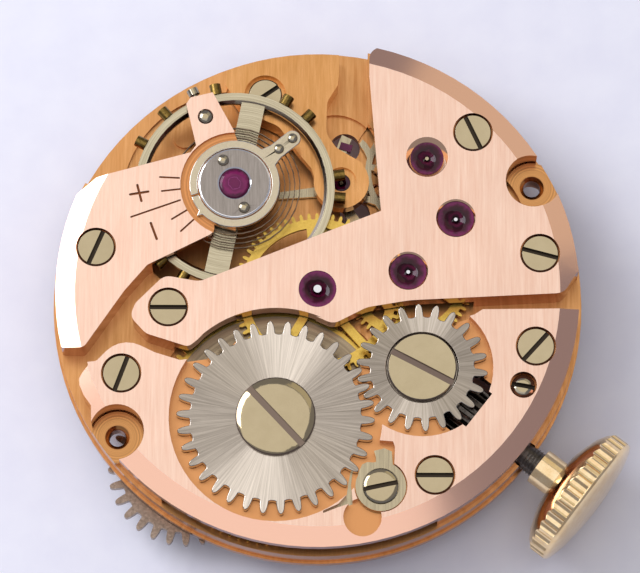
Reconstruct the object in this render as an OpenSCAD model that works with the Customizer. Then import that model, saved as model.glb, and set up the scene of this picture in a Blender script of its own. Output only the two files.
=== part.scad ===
/* [Main plate] */
// Radius of the flange that seats in the case
flange_r = 8.75; // [8.72:0.01:8.9]
// Height of the flange above the dial face
flange_h = 0.3; // [0.2:0.02:0.4]
// Radius of the plate above its flange
plate_r = 8.68; // [8.64:0.01:8.7]
// Height of the plate's upper face above its dial face
plate_t = 1.15; // [1.12:0.01:1.18]
// Height of the open rim land beside the balance
land_z = 0.5; // [0.46:0.01:0.56]
// Height of the floor under the balance and the pallets
well_z = 0.36; // [0.34:0.01:0.38]
// Thickness of the plate's floor under the barrel
barrel_floor = 0.25; // [0.2:0.01:0.27]
// Radius of the two case screw holes
case_hole_r = 0.28; // [0.2:0.01:0.34]
// Radius of the bridges' recesses round the case screws
case_recess_r = 0.9; // [0.82:0.01:0.94]
// Height above the dial face of the plate's bosses in those recesses
case_floor_z = 1.45; // [1.3:0.01:1.6]
// Radius of the relief under each case screw hole, on the dial side
case_relief_r = 0.48; // [0.44:0.01:0.5]
// Radius of the two dial foot holes
foot_hole_r = 0.33; // [0.28:0.01:0.36]
// Radius of the circle that the dial foot holes lie on
foot_circle_r = 7.95; // [7.9:0.01:8.0]

/* [Bridges] */
// Height of the bridges' top face above the dial face
bridge_top = 2.35; // [2.33:0.01:2.4]
// Outer radius of the bridges
bridge_r = 8.58; // [8.5:0.01:8.62]
// Radius at which the sloped rim of the bridges begins
rim_in_r = 7.94; // [7.85:0.01:8.05]
// Drop of the sloped rim at its outer edge
rim_drop = 0.17; // [0.1:0.01:0.22]
// Height of the bridges' underside over the train
roof_z = 1.75; // [1.73:0.01:1.78]
// Height of the cut-away above the balance rim
arch_z = 2.06; // [2.05:0.01:2.08]
// Top of the window that shows the barrel teeth at the rim
window_z = 1.85; // [1.7:0.05:1.9]
// Angle of the window's end near the left case screw
window_a0 = -126; // [-130:1:-120]
// Angle of the window's end near the stem
window_a1 = -63; // [-68:1:-60]

/* [Screws] */
// Radius of the bridge screw heads
head_r = 0.62; // [0.55:0.01:0.66]
// Thickness of the bridge screw heads
head_h = 0.3; // [0.24:0.02:0.36]
// Radius of the bridge screw shanks
shank_r = 0.26; // [0.2:0.01:0.3]
// Width of the screw slots
slot_w = 0.15; // [0.1:0.01:0.18]
// Width of the slots of the two large winding wheel screws
wide_slot_w = 0.22; // [0.18:0.01:0.26]

/* [Train] */
// Height of the centre wheel's underside
centre_wheel_z = 1.51; // [1.5:0.01:1.52]
// Height of the third wheel's underside
third_wheel_z = 1.36; // [1.35:0.01:1.37]
// Height of the fourth wheel's underside
fourth_wheel_z = 1.21; // [1.2:0.01:1.22]
// Thickness of the train wheels
wheel_t = 0.11; // [0.08:0.01:0.12]
// Teeth of the barrel
barrel_n = 80; // [80:1:80]
// Leaves of the centre pinion
centre_pin_n = 12; // [12:1:12]
// Teeth of the centre wheel
centre_n = 64; // [64:1:64]
// Leaves of the third pinion
third_pin_n = 8; // [8:1:8]
// Teeth of the third wheel
third_n = 55; // [55:1:55]
// Leaves of the fourth pinion
fourth_pin_n = 7; // [7:1:7]
// Teeth of the fourth wheel
fourth_n = 63; // [63:1:63]
// Leaves of the escape pinion
escape_pin_n = 6; // [6:1:6]
// Radius of the fine pivots
pivot_r = 0.06; // [0.05:0.005:0.07]
// Radial play of a pivot in its jewel
pivot_play = 0.015; // [0.012:0.001:0.02]

/* [Barrel] */
// Outer radius of the barrel drum
drum_r = 3.74; // [3.7:0.01:3.76]
// Height of the drum's underside
drum_z = 0.3; // [0.29:0.01:0.32]
// Height of the barrel lid's top face
lid_top = 1.4; // [1.38:0.01:1.42]
// Turns of the mainspring
mainspring_turns = 9; // [6:1:10]

/* [Winding] */
// Teeth of the ratchet wheel
ratchet_n = 34; // [34:1:34]
// Teeth of the crown wheel
crown_wheel_n = 22; // [22:1:22]
// Thickness of the ratchet and crown wheels
wind_t = 0.28; // [0.24:0.01:0.3]
// Depth of the recess that the two wheels lie in
recess_d = 0.38; // [0.36:0.01:0.4]
// Radius of the ratchet wheel's recess
ratchet_recess_r = 3.47; // [3.4:0.01:3.5]
// Radius of the crown wheel's recess
crown_recess_r = 2.32; // [2.28:0.01:2.36]
// Radius of the ratchet screw's head
ratchet_head_r = 1.3; // [1.2:0.01:1.35]
// Radius of the crown wheel screw's head
crown_head_r = 1.13; // [1.05:0.01:1.15]
// Height of the winding stem's axis above the dial face
stem_z = 1.0; // [0.99:0.01:1.01]
// Radius of the winding stem
stem_r = 0.42; // [0.38:0.01:0.43]
// Travel of the stem when it is pulled to set the hands
stem_travel = 0.4; // [0.3:0.02:0.42]
// Radius of the winding pinion
wind_pinion_r = 0.96; // [0.9:0.01:0.97]
// Leaves of the winding pinion
wind_pinion_n = 13; // [13:1:13]
// Radius of the crown
crown_r = 2.31; // [2.1:0.01:2.35]
// Length of the crown's fluted side
crown_l = 0.68; // [0.6:0.02:0.8]
// Depth of the rounded side that faces the plate
crown_back = 0.56; // [0.4:0.02:0.6]
// Height of the crown's domed end
crown_dome = 0.3; // [0.2:0.02:0.4]
// Flutes round the crown
crown_flutes = 32; // [28:1:36]
// Radius of the crown's neck
neck_r = 0.62; // [0.5:0.005:0.65]
// Length of the crown's neck
neck_l = 0.78; // [0.7:0.02:0.8]

/* [Balance] */
// Outer radius of the balance rim
balance_r = 3.3; // [3.2:0.01:3.31]
// Radial thickness of the balance rim
rim_t = 0.35; // [0.3:0.01:0.4]
// Height of the balance rim's underside
balance_z = 1.71; // [1.7:0.01:1.72]
// Height of the balance rim
balance_h = 0.22; // [0.18:0.01:0.23]
// Radius of the balance screws' heads
balance_screw_r = 0.19; // [0.17:0.01:0.19]
// Width of the two balance arms
arm_w = 0.78; // [0.6:0.02:0.9]
// Height above the dial face of the hairspring's underside
hairspring_z = 1.97; // [1.96:0.01:1.98]
// Height of the hairspring's blade
hairspring_h = 0.1; // [0.08:0.01:0.12]
// Thickness of the hairspring's blade
hairspring_t = 0.03; // [0.02:0.005:0.035]
// Turns of the hairspring
hairspring_turns = 11; // [8:1:12]
// Height of the cock's underside over the balance
cock_under_z = 2.12; // [2.11:0.01:2.13]
// Outer radius of the regulator ring
regulator_r = 1.49; // [1.45:0.01:1.52]
// Radius of the cap plate over the balance jewel
cap_r = 1.2; // [1.15:0.01:1.22]

/* [Escapement] */
// Radius of the escape wheel over its teeth
escape_r = 2.44; // [2.4:0.01:2.45]
// Teeth of the escape wheel
escape_n = 15; // [15:1:15]
// Height of the escape wheel's underside
escape_z = 0.42; // [0.41:0.01:0.43]
// Thickness of the escape wheel and the fork
escape_t = 0.13; // [0.1:0.01:0.14]
// Height of the pallet cock's top face
pallet_cock_top = 1.45; // [1.42:0.01:1.47]
// Height of the pallet cock's underside at its jewel
pallet_cock_under = 0.95; // [0.92:0.01:1.0]
// Gap between the pallet stones and the tooth tips
pallet_gap = 0.17; // [0.16:0.01:0.18]

/* [Dial side] */
// Teeth of the minute wheel
minute_n = 36; // [36:1:36]
// Leaves of the minute pinion
minute_pin_n = 10; // [10:1:10]
// Teeth of the hour wheel
hour_n = 40; // [40:1:40]
// Leaves of the cannon pinion
cannon_n = 12; // [12:1:12]
// Teeth of the setting wheel
setting_n = 16; // [16:1:16]
// Radius of the seat for the minute hand
minute_seat_r = 0.35; // [0.3:0.01:0.37]
// Radius of the cannon pinion's body above that seat
cannon_r = 0.39; // [0.38:0.01:0.42]
// Length of the seat for the minute hand
minute_seat_l = 0.33; // [0.3:0.01:0.4]
// Radius of the seat for the hour hand
hour_seat_r = 0.6; // [0.55:0.01:0.65]
// Length of the cannon pinion below the dial face
cannon_l = 1.3; // [1.2:0.05:1.4]
// Radius of the toothed wheel that reaches past the rim
under_r = 2.56; // [2.5:0.01:2.6]
// Teeth of that wheel
under_n = 28; // [28:1:28]

/* [Hidden] */
$fn = 64;
// Places of the axes, seen from the bridge side
CENTRE = [0, 0];
BARREL = [-1.35, -4.30];
CROWN_WHEEL = [3.41, -2.63];
THIRD = [2.97, 0.62];
FOURTH = [4.54, 2.42];
ESCAPE = [3.60, 4.52];
PALLET = [0.78, 3.93];
BALANCE = [-2.74, 3.56];
UNDER = [-4.32, -5.50];
CLICK = [2.06, -6.60];
CASE_HOLES = [[-6.51, -4.80], [7.09, 3.72]];
FOOT_HOLES = [[-foot_circle_r, 0], [foot_circle_r, 0]];
// Screw places, each with the angle of its slot
TRAIN_SCREWS = [[5.12, 5.38, -65], [7.29, 1.23, -15], [-4.88, -0.63, 0]];
BARREL_SCREWS = [[-6.38, -2.86, 70], [7.12, -1.92, 48], [3.81, -6.23, 0]];
COCK_SCREW = [-7.27, 1.40, 67];
PALLET_SCREW = [-1.76, 6.93, 35];
LEVER_SCREW = [6.70, -3.22, -10];
case_clear = 0.005;
run_gap = 0.04;
eps = 0.01;

// Gear sizes that follow from the centre distances
function dist(a, b) = norm(a - b);
function pitch_r(a, b, n, m) = dist(a, b) * n / (n + m);
barrel_pr = pitch_r(BARREL, CENTRE, barrel_n, centre_pin_n);
centre_pin_pr = pitch_r(BARREL, CENTRE, centre_pin_n, barrel_n);
centre_pr = pitch_r(CENTRE, THIRD, centre_n, third_pin_n);
third_pin_pr = pitch_r(CENTRE, THIRD, third_pin_n, centre_n);
third_pr = pitch_r(THIRD, FOURTH, third_n, fourth_pin_n);
fourth_pin_pr = pitch_r(THIRD, FOURTH, fourth_pin_n, third_n);
fourth_pr = pitch_r(FOURTH, ESCAPE, fourth_n, escape_pin_n);
escape_pin_pr = pitch_r(FOURTH, ESCAPE, escape_pin_n, fourth_n);
ratchet_pr = pitch_r(BARREL, CROWN_WHEEL, ratchet_n, crown_wheel_n);
crown_wheel_pr = pitch_r(BARREL, CROWN_WHEEL, crown_wheel_n, ratchet_n);
wind_m = ratchet_pr * 2 / ratchet_n;
stem_a = -37.8;
fork_a = atan2(BALANCE[1] - PALLET[1], BALANCE[0] - PALLET[0]);
minute_cd = 2.4;
MINUTE = [minute_cd * cos(-80.1), minute_cd * sin(-80.1)];
setting_s = 3.81;
SETTING = [setting_s * cos(stem_a), setting_s * sin(stem_a)];

function unit(v) = v / norm(v);
function arc_pts(c, r, a0, a1, n) =
    [for (i = [0:n]) let (a = a0 + (a1 - a0) * i / n) [c[0] + r * cos(a), c[1] + r * sin(a)]];
// Points of a corner p1 rounded with radius r
function corner(p0, p1, p2, r, n = 5) =
    r <= 0 ? [p1] :
    let (u = unit(p0 - p1), v = unit(p2 - p1), half = acos(u * v) / 2)
    let (c = p1 + unit(u + v) * r / sin(half))
    let (s = p1 + u * r / tan(half), e = p1 + v * r / tan(half))
    let (a0 = atan2(s[1] - c[1], s[0] - c[0]), a1 = atan2(e[1] - c[1], e[0] - c[0]))
    let (d = a1 - a0 > 180 ? a1 - a0 - 360 : a1 - a0 < -180 ? a1 - a0 + 360 : a1 - a0)
    [for (i = [0:n]) [c[0] + r * cos(a0 + d * i / n), c[1] + r * sin(a0 + d * i / n)]];
// Outline from points [x, y, rounding]
function rounded(p) =
    [for (i = [0:len(p) - 1])
        let (a = p[(i + len(p) - 1) % len(p)], b = p[i], c = p[(i + 1) % len(p)])
        each corner([a[0], a[1]], [b[0], b[1]], [c[0], c[1]], b[2])];

module at(p, z = 0) { translate([p[0], p[1], z]) children(); }
module disc(p, r, z0, z1) { at(p, z0) cylinder(r = r, h = z1 - z0); }
module plate2d(z0, z1) { translate([0, 0, z0]) linear_extrude(height = z1 - z0) children(); }
// Stem coordinates: +X along the stem away from the centre, at the stem's height
module on_stem(s = 0) { rotate([0, 0, stem_a]) translate([s, 0, stem_z]) rotate([0, 90, 0]) children(); }

// Toothed outline: profile holds [share of the pitch angle, radius] from the left root to the right root
function teeth(n, profile, phase = 0) =
    [for (i = [0:n - 1]) for (q = profile) let (a = phase - (i + q[0]) * 360 / n) [q[1] * cos(a), q[1] * sin(a)]];
function wheel_profile(pr, n, w = 0.21) =
    let (m = 2 * pr / n)
    [[-0.30, pr - 1.45 * m], [-w - 0.01, pr - 1.2 * m], [-w, pr], [-w * 0.72, pr + 0.62 * m],
     [-w * 0.3, pr + 1.02 * m], [w * 0.3, pr + 1.02 * m], [w * 0.72, pr + 0.62 * m],
     [w, pr], [w + 0.01, pr - 1.2 * m], [0.30, pr - 1.45 * m]];
function pinion_profile(pr, n, w = 0.16) =
    let (m = 2 * pr / n)
    [[-0.28, pr - 1.5 * m], [-w * 0.75, pr - 1.25 * m], [-w, pr], [-w * 0.6, pr + 0.55 * m],
     [w * 0.6, pr + 0.55 * m], [w, pr], [w * 0.75, pr - 1.25 * m], [0.28, pr - 1.5 * m]];
// Long rounded winding tooth
function winding_profile(rt, m) =
    [[-0.40, rt - 2.45 * m], [-0.27, rt - 2.3 * m], [-0.235, rt - 1.5 * m], [-0.19, rt - 0.75 * m], [-0.13, rt - 0.25 * m],
     [-0.05, rt], [0.05, rt], [0.13, rt - 0.25 * m], [0.19, rt - 0.75 * m], [0.235, rt - 1.5 * m],
     [0.27, rt - 2.3 * m], [0.40, rt - 2.45 * m]];

module crossed(r_out, r_hub, arms, w, a0 = 0) {
    difference() {
        circle(r = r_out);
        circle(r = r_hub);
        for (i = [0:arms - 1])
            rotate(a0 + i * 360 / arms) translate([r_hub * 0.5, -w / 2]) square([r_out, w]);
    }
}

// Slotted screw, head downwards from z = 0 to -h and shank below it
module screw(hr, h, sr, sl, a, dome = 0, w = slot_w) {
    rotate(a) difference() {
        union() {
            rotate_extrude()
                polygon([[0, -h], [hr, -h], [hr, -0.04 - dome], [hr - 0.04, -dome], [hr * 0.55, -dome * 0.25], [0, 0]]);
            translate([0, 0, -h - sl]) cylinder(r = sr, h = sl + eps);
        }
        translate([-hr - 1, -w / 2, -h * 0.45]) cube([2 * hr + 2, w, h]);
    }
}

// Ring jewel with an oil cup on its upper side
module jewel(r, z0, z1, hole) {
    translate([0, 0, z0])
        rotate_extrude() polygon([[hole, 0], [r, 0], [r, z1 - z0], [r * 0.55, z1 - z0], [hole, (z1 - z0) * 0.45]]);
}

// Outlines of the bridges, drawn past the rim and cut by it
module train_outline() {
    polygon(concat(
        rounded([[10, 9, 0], [10, 0.66, 0], [8.52, 0.66, 0.15], [8.05, -0.12, 0.45], [3.02, -0.38, 4.0], [1.62, -0.62, 1.0],
                 [0.52, -1.19, 0.45], [-0.05, -0.93, 0]]),
        arc_pts(BARREL, 3.65, 66, 130, 14),
        rounded([[-3.9, -1.72, 0], [-4.2, -1.97, 0.25], [-5.60, -1.52, 0.5], [-6.12, -0.95, 0.35],
                 [-5.95, -0.50, 0.4], [-5.02, 0.44, 0.45], [-3.86, 0.24, 0.6], [0, 1.82, 0]]),
        rounded([[2.08, 2.66, 0], [1.70, 7.3, 0.5], [1.70, 8.22, 0.45], [3.0, 8.9, 0]])));
}
module barrel_outline() {
    polygon(concat(
        [[10, -9.5], [10, -0.62], [5.40, -0.68], [5.12, -0.86]],
        arc_pts(THIRD, third_pr + 0.22, -44, -103, 8),
        arc_pts(CENTRE, centre_pr + 0.24, -38, -150, 20),
        rounded([[-3.0, -2.2, 0], [-4.47, -2.42, 0.15], [-5.3, -2.16, 0.8], [-6.40, -1.62, 0.95], [-7.2, -2.46, 0.2],
                 [-7.60, -2.50, 0], [-8.9, -3.3, 0], [-10, -9.5, 0]])));
}
module cock_outline() {
    polygon(concat(
        rounded([[-4.41, 4.60, 0], [-7.30, 3.80, 0.3], [-9.4, 2.0, 0], [-9.4, -1.2, 0], [-8.30, -1.98, 0.3],
                 [-7.62, -2.0, 0.25], [-6.32, -0.08, 1.0], [-5.58, 0.80, 0.25], [-3.31, 1.95, 0.3]]),
        [[-2.7, 2.0]],
        arc_pts(BALANCE, 1.42, -88, 85, 16),
        [[-2.78, 5.42], [-3.49, 6.74], [-4.22, 6.56], [-4.36, 6.34], [-4.02, 4.90], [-4.2, 4.66]]));
}
module pallet_outline() {
    polygon(concat(
        [[0.70, 9], [0.70, 7.74]],
        rounded([[0.66, 7.3, 0], [0.30, 6.7, 0.5], [0.27, 5.6, 0.6], [0.62, 5.1, 0.4], [1.45, 4.6, 0]]),
        arc_pts(PALLET, 0.92, 40, -190, 16),
        rounded([[-0.22, 4.4, 0], [-0.72, 5.0, 0.5], [-1.30, 5.85, 0.6], [-2.45, 6.35, 0.3], [-3.1, 7.3, 0.3], [-2.9, 9, 0]])));
}

// Solid between the bridge seats and the sloped top of the bridges
module bridge_body() {
    intersection() {
        plate2d(plate_t, bridge_top) children();
        rotate_extrude($fn = 180)
            polygon([[0, plate_t], [bridge_r, plate_t], [bridge_r, bridge_top - rim_drop],
                     [rim_in_r, bridge_top], [0, bridge_top]]);
    }
}
module screw_seat(p, under = plate_t, top = bridge_top) {
    disc(p, shank_r + run_gap, under - 1, top + 1);
    disc(p, head_r + run_gap, top - head_h - 0.02, top + 1);
}
module sector(a0, a1, r, z0, z1) {
    steps = 12;
    plate2d(z0, z1) polygon(concat([[0, 0]], arc_pts([0, 0], r, a0, a1, steps)));
}

module main_plate() {
    // Studs that the dial-side wheels and levers turn on
    color("#c98f52") {
        disc(MINUTE, 0.145, -0.44, 0.02);
        disc(SETTING, 0.145, -0.22, 0.24);
        disc(YOKE, 0.11, -0.28, 0.02);
        disc(UNDER, 0.4, -0.36, 0.02);
        // Low boss under the balance rim
        disc([-4.47, 5.77], 0.38, well_z - 0.1, 0.5);
    }
    color("#c98f52") difference() {
        union() {
            cylinder(r = flange_r, h = flange_h, $fn = 180);
            cylinder(r = plate_r, h = plate_t, $fn = 180);
            for (p = CASE_HOLES) intersection() {
                disc(p, case_recess_r - 0.04, 0.5, case_floor_z);
                cylinder(r = plate_r, h = 5, $fn = 180);
            }
        }
        disc(FOURTH, fourth_pr + 0.22, plate_t, 3);
        // Barrel pocket, with a wider step for the barrel teeth
        disc(BARREL, drum_r + 0.08, barrel_floor, plate_t + 1);
        disc(BARREL, barrel_pr + 0.25, 1.0, plate_t + 1);
        disc(BARREL, 0.44, -1, plate_t);
        // Pits of the train pivots
        disc(CENTRE, centre_pin_pr + 0.2, 0.72, plate_t + 1);
        disc(CENTRE, 0.5, -1, plate_t);
        disc(THIRD, 0.35, 0.6, plate_t + 1);
        disc(FOURTH, 0.35, 0.78, plate_t + 1);
        disc(ESCAPE, 0.35, 0.5, plate_t + 1);
        // Escape wheel pocket, open on the dial side under its lower bridge
        disc(ESCAPE, escape_r + 0.09, -1, 0.7);
        lower_bridge_shape(-1, 0.28, case_clear);
        for (p = lower_bridge_ears) disc(p, 0.16, -1, 0.62);
        // Balance well, pallet well and rim land
        disc(BALANCE, balance_r + 0.5, well_z, plate_t + 1);
        disc(PALLET, 1.1, well_z, plate_t + 1);
        disc([0.57, 5.10], 1.45, well_z, plate_t + 1);
        disc([1.05, 3.2], 1.45, well_z, plate_t + 1);
        intersection() {
            sector(69, 153.5, 12, land_z, plate_t + 1);
            translate([-10, 0, 0]) cube([11.66, 12, 5]);
            difference() {
                cylinder(r = 10, h = 5);
                plate2d(-1, 6) polygon([[-9.5, 4.45], [-7.38, 3.85], [-5.6, 4.33], [-5.6, 0], [-9.5, 0]]);
            }
        }
        disc([0.90, 5.43], 0.5, -1, 1);
        disc([1.24, 3.13], 0.5, -1, 1);
        disc(BALANCE, 0.4, -1, 1);
        disc(PALLET, 0.3, -1, 1);
        // Keyless works: trench, stem bore and pilot, slot for the setting lever's pin
        rotate(stem_a) translate([4.58, -1.03, -1]) cube([2.07, 2.06, 5]);
        on_stem(6.5) cylinder(r = stem_r + run_gap, h = 3);
        on_stem(3.5) cylinder(r = 0.25, h = 1.5);
        rotate(stem_a) translate([7.0, -0.24, -1]) cube([1.1, 0.48, 1.7]);
        // Screw holes
        for (s = [TRAIN_SCREWS[1], TRAIN_SCREWS[2], BARREL_SCREWS[0], BARREL_SCREWS[1], BARREL_SCREWS[2], COCK_SCREW])
            disc(s, shank_r, 0.3, plate_t + 1);
        disc(TRAIN_SCREWS[0], shank_r, 0.8, plate_t + 1);
        disc(PALLET_SCREW, 0.22, 0.12, 1);
        disc(LEVER_SCREW, 0.2, -1, 3);
        for (p = CASE_HOLES) {
            disc(p, case_hole_r, -1, 3);
            disc(p, case_relief_r, -1, case_floor_z - 0.6);
            at(p, case_floor_z - 0.12) cylinder(r1 = case_hole_r, r2 = case_hole_r + 0.13, h = 0.13);
        }
        for (p = FOOT_HOLES) disc(p, foot_hole_r, -1, 0.75);
        disc(SETTING, 0.95, -1, 0.22);
        disc(SPRING_FOOT, 0.15, -1, 0.4);
    }
}

lower_bridge_ears = [for (a = [125, 320]) [ESCAPE[0] + 2.98 * cos(a), ESCAPE[1] + 2.98 * sin(a)]];
module lower_bridge_shape(z0, z1, g) {
    difference() {
        union() {
            disc(ESCAPE, escape_r + 0.24 + g, z0, z1);
            for (p = lower_bridge_ears) disc(p, 0.42 + g, z0, z1);
        }
        disc(PALLET, 0.42 - g, z0 - 1, z1 + 1);
    }
}
module escape_lower_bridge() {
    color("#c98f52") difference() {
        lower_bridge_shape(0, 0.28, 0);
        disc(ESCAPE, 0.4, -1, 1);
        for (p = lower_bridge_ears) disc(p, 0.16 + 0.02, -1, 1);
        disc([0.90, 5.43], 0.5, -1, 1);
        disc([1.24, 3.13], 0.5, -1, 1);
    }
}

module barrel_bridge() {
    color("#f1cdb0") difference() {
        bridge_body() barrel_outline();
        // Relief over the barrel and the train
        disc(BARREL, barrel_pr + 0.25, 0, roof_z);
        disc(CENTRE, centre_pr + 0.24, 0, roof_z);
        // Window at the rim
        difference() {
            sector(window_a0, window_a1, 12, plate_t - 1, window_z);
            cylinder(r = 7.7, h = 5);
        }
        // Recess for the ratchet and crown wheels
        disc(BARREL, ratchet_recess_r, bridge_top - recess_d, bridge_top + 1);
        disc(CROWN_WHEEL, crown_recess_r, bridge_top - recess_d, bridge_top + 1);
        disc(BARREL, 0.5, 0, bridge_top);
        // Click recess, notch of its tail and worn dimple
        disc(CLICK, 0.86, bridge_top - recess_d, bridge_top + 1);
        plate2d(bridge_top - recess_d, bridge_top + 1)
            polygon([[1.0, -6.3], [1.0, -5.0], [2.46, -5.12], [2.52, -5.3], [2.50, -5.9], [2.0, -6.6]]);
        disc([1.47, -7.62], 0.62, bridge_top - 0.3, bridge_top + 1);
        disc(CLICK, 0.2, 1.3, bridge_top);
        plate2d(bridge_top - recess_d, bridge_top + 1) click_spring_shape();
        disc(CROWN_WHEEL, 0.3, 1.35, bridge_top);
        // Keyless works
        rotate(stem_a) translate([4.58, -1.03, 0]) cube([2.07, 2.06, 1.8]);
        rotate(stem_a) translate([4.58, -0.7, 0]) cube([2.07, 1.4, 3]);
        intersection() {
            rotate(stem_a) translate([4.58, -1.03, 0]) cube([2.07, 2.06, 5]);
            disc(CROWN_WHEEL, crown_recess_r, 0, 5);
        }
        on_stem(6.5) cylinder(r = stem_r + run_gap, h = 3);
        on_stem(3.5) cylinder(r = 0.25, h = 1.5);
        for (s = BARREL_SCREWS) screw_seat(s);
        disc(LEVER_SCREW, 0.24, 0, 3);
        disc(LEVER_SCREW, 0.44, 1.85, 3);
        disc(CASE_HOLES[0], case_recess_r, 0, 3);
        plate2d(0, 3) polygon([[-7.0, -5.4], [-7.9, -3.9], [-9, -4.5], [-8, -6]]);
        plate2d(0, 3) polygon([[-7.34, -4.45], [-7.35, -3.92], [-7.60, -3.56], [-7.73, -3.25], [-7.75, -3.02],
            [-7.62, -2.80], [-7.46, -2.60], [-7.55, -2.2], [-9, -2.0], [-9.2, -5.0]]);
    }
}

module train_bridge() {
    color("#f1cdb0") difference() {
        bridge_body() train_outline();
        disc(CENTRE, centre_pr + 0.24, 0, roof_z);
        disc(THIRD, third_pr + 0.22, 0, roof_z);
        disc(FOURTH, fourth_pr + 0.22, 0, roof_z);
        disc(ESCAPE, 0.75, 0, roof_z);
        disc(BARREL, barrel_pr + 0.25, 0, roof_z);
        disc(BALANCE, balance_r + 0.5, 0, arch_z);
        plate2d(0, roof_z) polygon([[1.5, 2.4], [2.6, 2.6], [2.5, 6.2], [1.4, 6.2]]);
        for (s = TRAIN_SCREWS) screw_seat(s);
        disc(CASE_HOLES[1], case_recess_r, 0, 3);
        disc(CENTRE, 0.62, 0, 3);
        for (p = [THIRD, FOURTH]) disc(p, 0.6, 0, 3);
        disc(ESCAPE, 0.55, 0, 3);
        at(ESCAPE, bridge_top - 0.15) cylinder(r1 = 0.55, r2 = 0.7, h = 0.15 + eps);
        for (p = [THIRD, FOURTH]) at(p, bridge_top - 0.06) cylinder(r1 = 0.6, r2 = 0.66, h = 0.06 + eps);
    }
}

module balance_cock() {
    color("#f1cdb0") difference() {
        bridge_body() cock_outline();
        disc(BALANCE, balance_r + 0.5, 0, cock_under_z);
        disc(BALANCE, 1.79, bridge_top - 0.1, 3);
        disc(BALANCE, 0.42, 0, 3);
        screw_seat(COCK_SCREW);
        at(STUD) translate([0, 0, -1]) cylinder(r = 0.2, h = 5);
        disc(STUD, 0.26, bridge_top - 0.08, 3);
        at(STUD, stud_screw_z) rotate([0, 90, stud_a]) cylinder(r = 0.09, h = 2);
        for (p = CAP_SCREWS) disc(p, 0.1, 0, 3);
        // Adjustment scale
        for (l = SCALE_LINES)
            translate([0, 0, bridge_top - 0.04]) linear_extrude(height = 1) groove([l[0], l[1]], [l[2], l[3]], 0.06);
        translate([0, 0, bridge_top - 0.05]) linear_extrude(height = 1) {
            groove([-6.17, 3.2], [-5.58, 3.3], 0.08);
            groove([-5.94, 3.52], [-5.80, 2.98], 0.08);
            groove([-5.48, 2.22], [-5.28, 1.68], 0.08);
        }
    }
}
// Straight milled line with round ends
module groove(a, b, w) {
    d = b - a;
    translate(a) rotate(atan2(d[1], d[0])) translate([0, -w / 2]) square([norm(d), w]);
    translate(a) circle(r = w / 2, $fn = 16);
    translate(b) circle(r = w / 2, $fn = 16);
}
SCALE_LINES = [[-5.20, 3.80, -4.57, 3.77], [-5.13, 3.32, -4.54, 3.39], [-6.13, 2.43, -4.53, 3.01],
    [-4.79, 2.36, -4.30, 2.67], [-4.49, 1.95, -4.06, 2.36]];
STUD = [-3.72, 5.90];
stud_a = 116;
stud_screw_z = bridge_top - 0.1;
CAP_SCREWS = [[-3.12, 4.34], [-2.42, 2.72]];

module pallet_cock() {
    color("#c98f52") difference() {
        intersection() {
            plate2d(land_z, pallet_cock_top) pallet_outline();
            cylinder(r = plate_r - 0.3, h = 5, $fn = 120);
        }
        disc(PALLET, 2.2, 0, pallet_cock_under);
        disc(PALLET, 0.3, 0, 5);
        disc(PALLET, 0.5, pallet_cock_top - 0.12, 5);
        disc(PALLET_SCREW, 0.24, 0, 5);
        disc(PALLET_SCREW, 0.7, pallet_cock_top - 0.3, 5);
    }
}

module bridge_screws() {
    color("#c9c2a8") {
        for (s = BARREL_SCREWS) at(s, bridge_top - 0.02) screw(head_r, head_h, shank_r, 1.6, s[2]);
        for (s = TRAIN_SCREWS)
            at(s, bridge_top - 0.02) screw(head_r, head_h, shank_r, s == TRAIN_SCREWS[0] ? 1.15 : 1.6, s[2]);
    }
}
module balance_cock_screw() {
    color("#c9c2a8") at(COCK_SCREW, bridge_top - 0.02) screw(head_r, head_h, shank_r, 1.6, COCK_SCREW[2]);
}
module pallet_cock_screw() {
    color("#c9c2a8") at(PALLET_SCREW, pallet_cock_top + 0.03) screw(0.56, 0.33, 0.22, 1.0, PALLET_SCREW[2]);
}
module lower_bridge_screws() {
    color("#c9c2a8") for (p = lower_bridge_ears)
        at(p, -0.12) rotate([180, 0, 0]) screw(0.3, 0.12, 0.16, 0.5, 40);
}

module train_jewels() {
    color("#6a1046", 0.85) {
        at(CENTRE) jewel(0.615, 2.05, bridge_top - 0.02, 0.13 + pivot_play);
        at(THIRD) jewel(0.595, 1.98, bridge_top - 0.1, pivot_r + pivot_play);
        at(FOURTH) jewel(0.595, 1.98, bridge_top - 0.1, pivot_r + pivot_play);
        at(ESCAPE) jewel(0.545, 1.98, bridge_top - 0.15, pivot_r + pivot_play);
    }
}
module lower_jewels() {
    color("#6a1046", 0.85) {
        at(CENTRE) jewel(0.495, 0.3, 0.6, 0.2 + pivot_play);
        at(THIRD) jewel(0.345, 0.6, 0.8, pivot_r + pivot_play);
        at(FOURTH) jewel(0.345, 0.78, 0.98, pivot_r + pivot_play);
        at(ESCAPE) jewel(0.395, 0.04, 0.26, pivot_r + pivot_play);
        at(PALLET) jewel(0.295, 0.06, 0.26, pivot_r + pivot_play);
        at(BALANCE) jewel(0.395, 0.14, 0.3, pivot_r + pivot_play);
    }
}
module pallet_cock_jewel() {
    color("#6a1046", 0.85) at(PALLET) jewel(0.295, 1.05, pallet_cock_top - 0.14, pivot_r + pivot_play);
}
module balance_hole_jewel() {
    color("#6a1046", 0.85) at(BALANCE) jewel(0.415, 2.14, 2.24, pivot_r + pivot_play);
}
module lower_endstone() {
    color("#6a1046", 0.85) disc(BALANCE, 0.395, 0.01, 0.13);
}
module cap_plate() {
    color("#b9b9b4") difference() {
        at(BALANCE, bridge_top - 0.1) rotate_extrude()
            polygon([[0.5, 0], [cap_r, 0], [cap_r, 0.2], [cap_r - 0.04, 0.24], [0.56, 0.24], [0.5, 0.2]]);
        for (p = CAP_SCREWS) disc(p, 0.12, 0, 5);
    }
}
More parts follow.
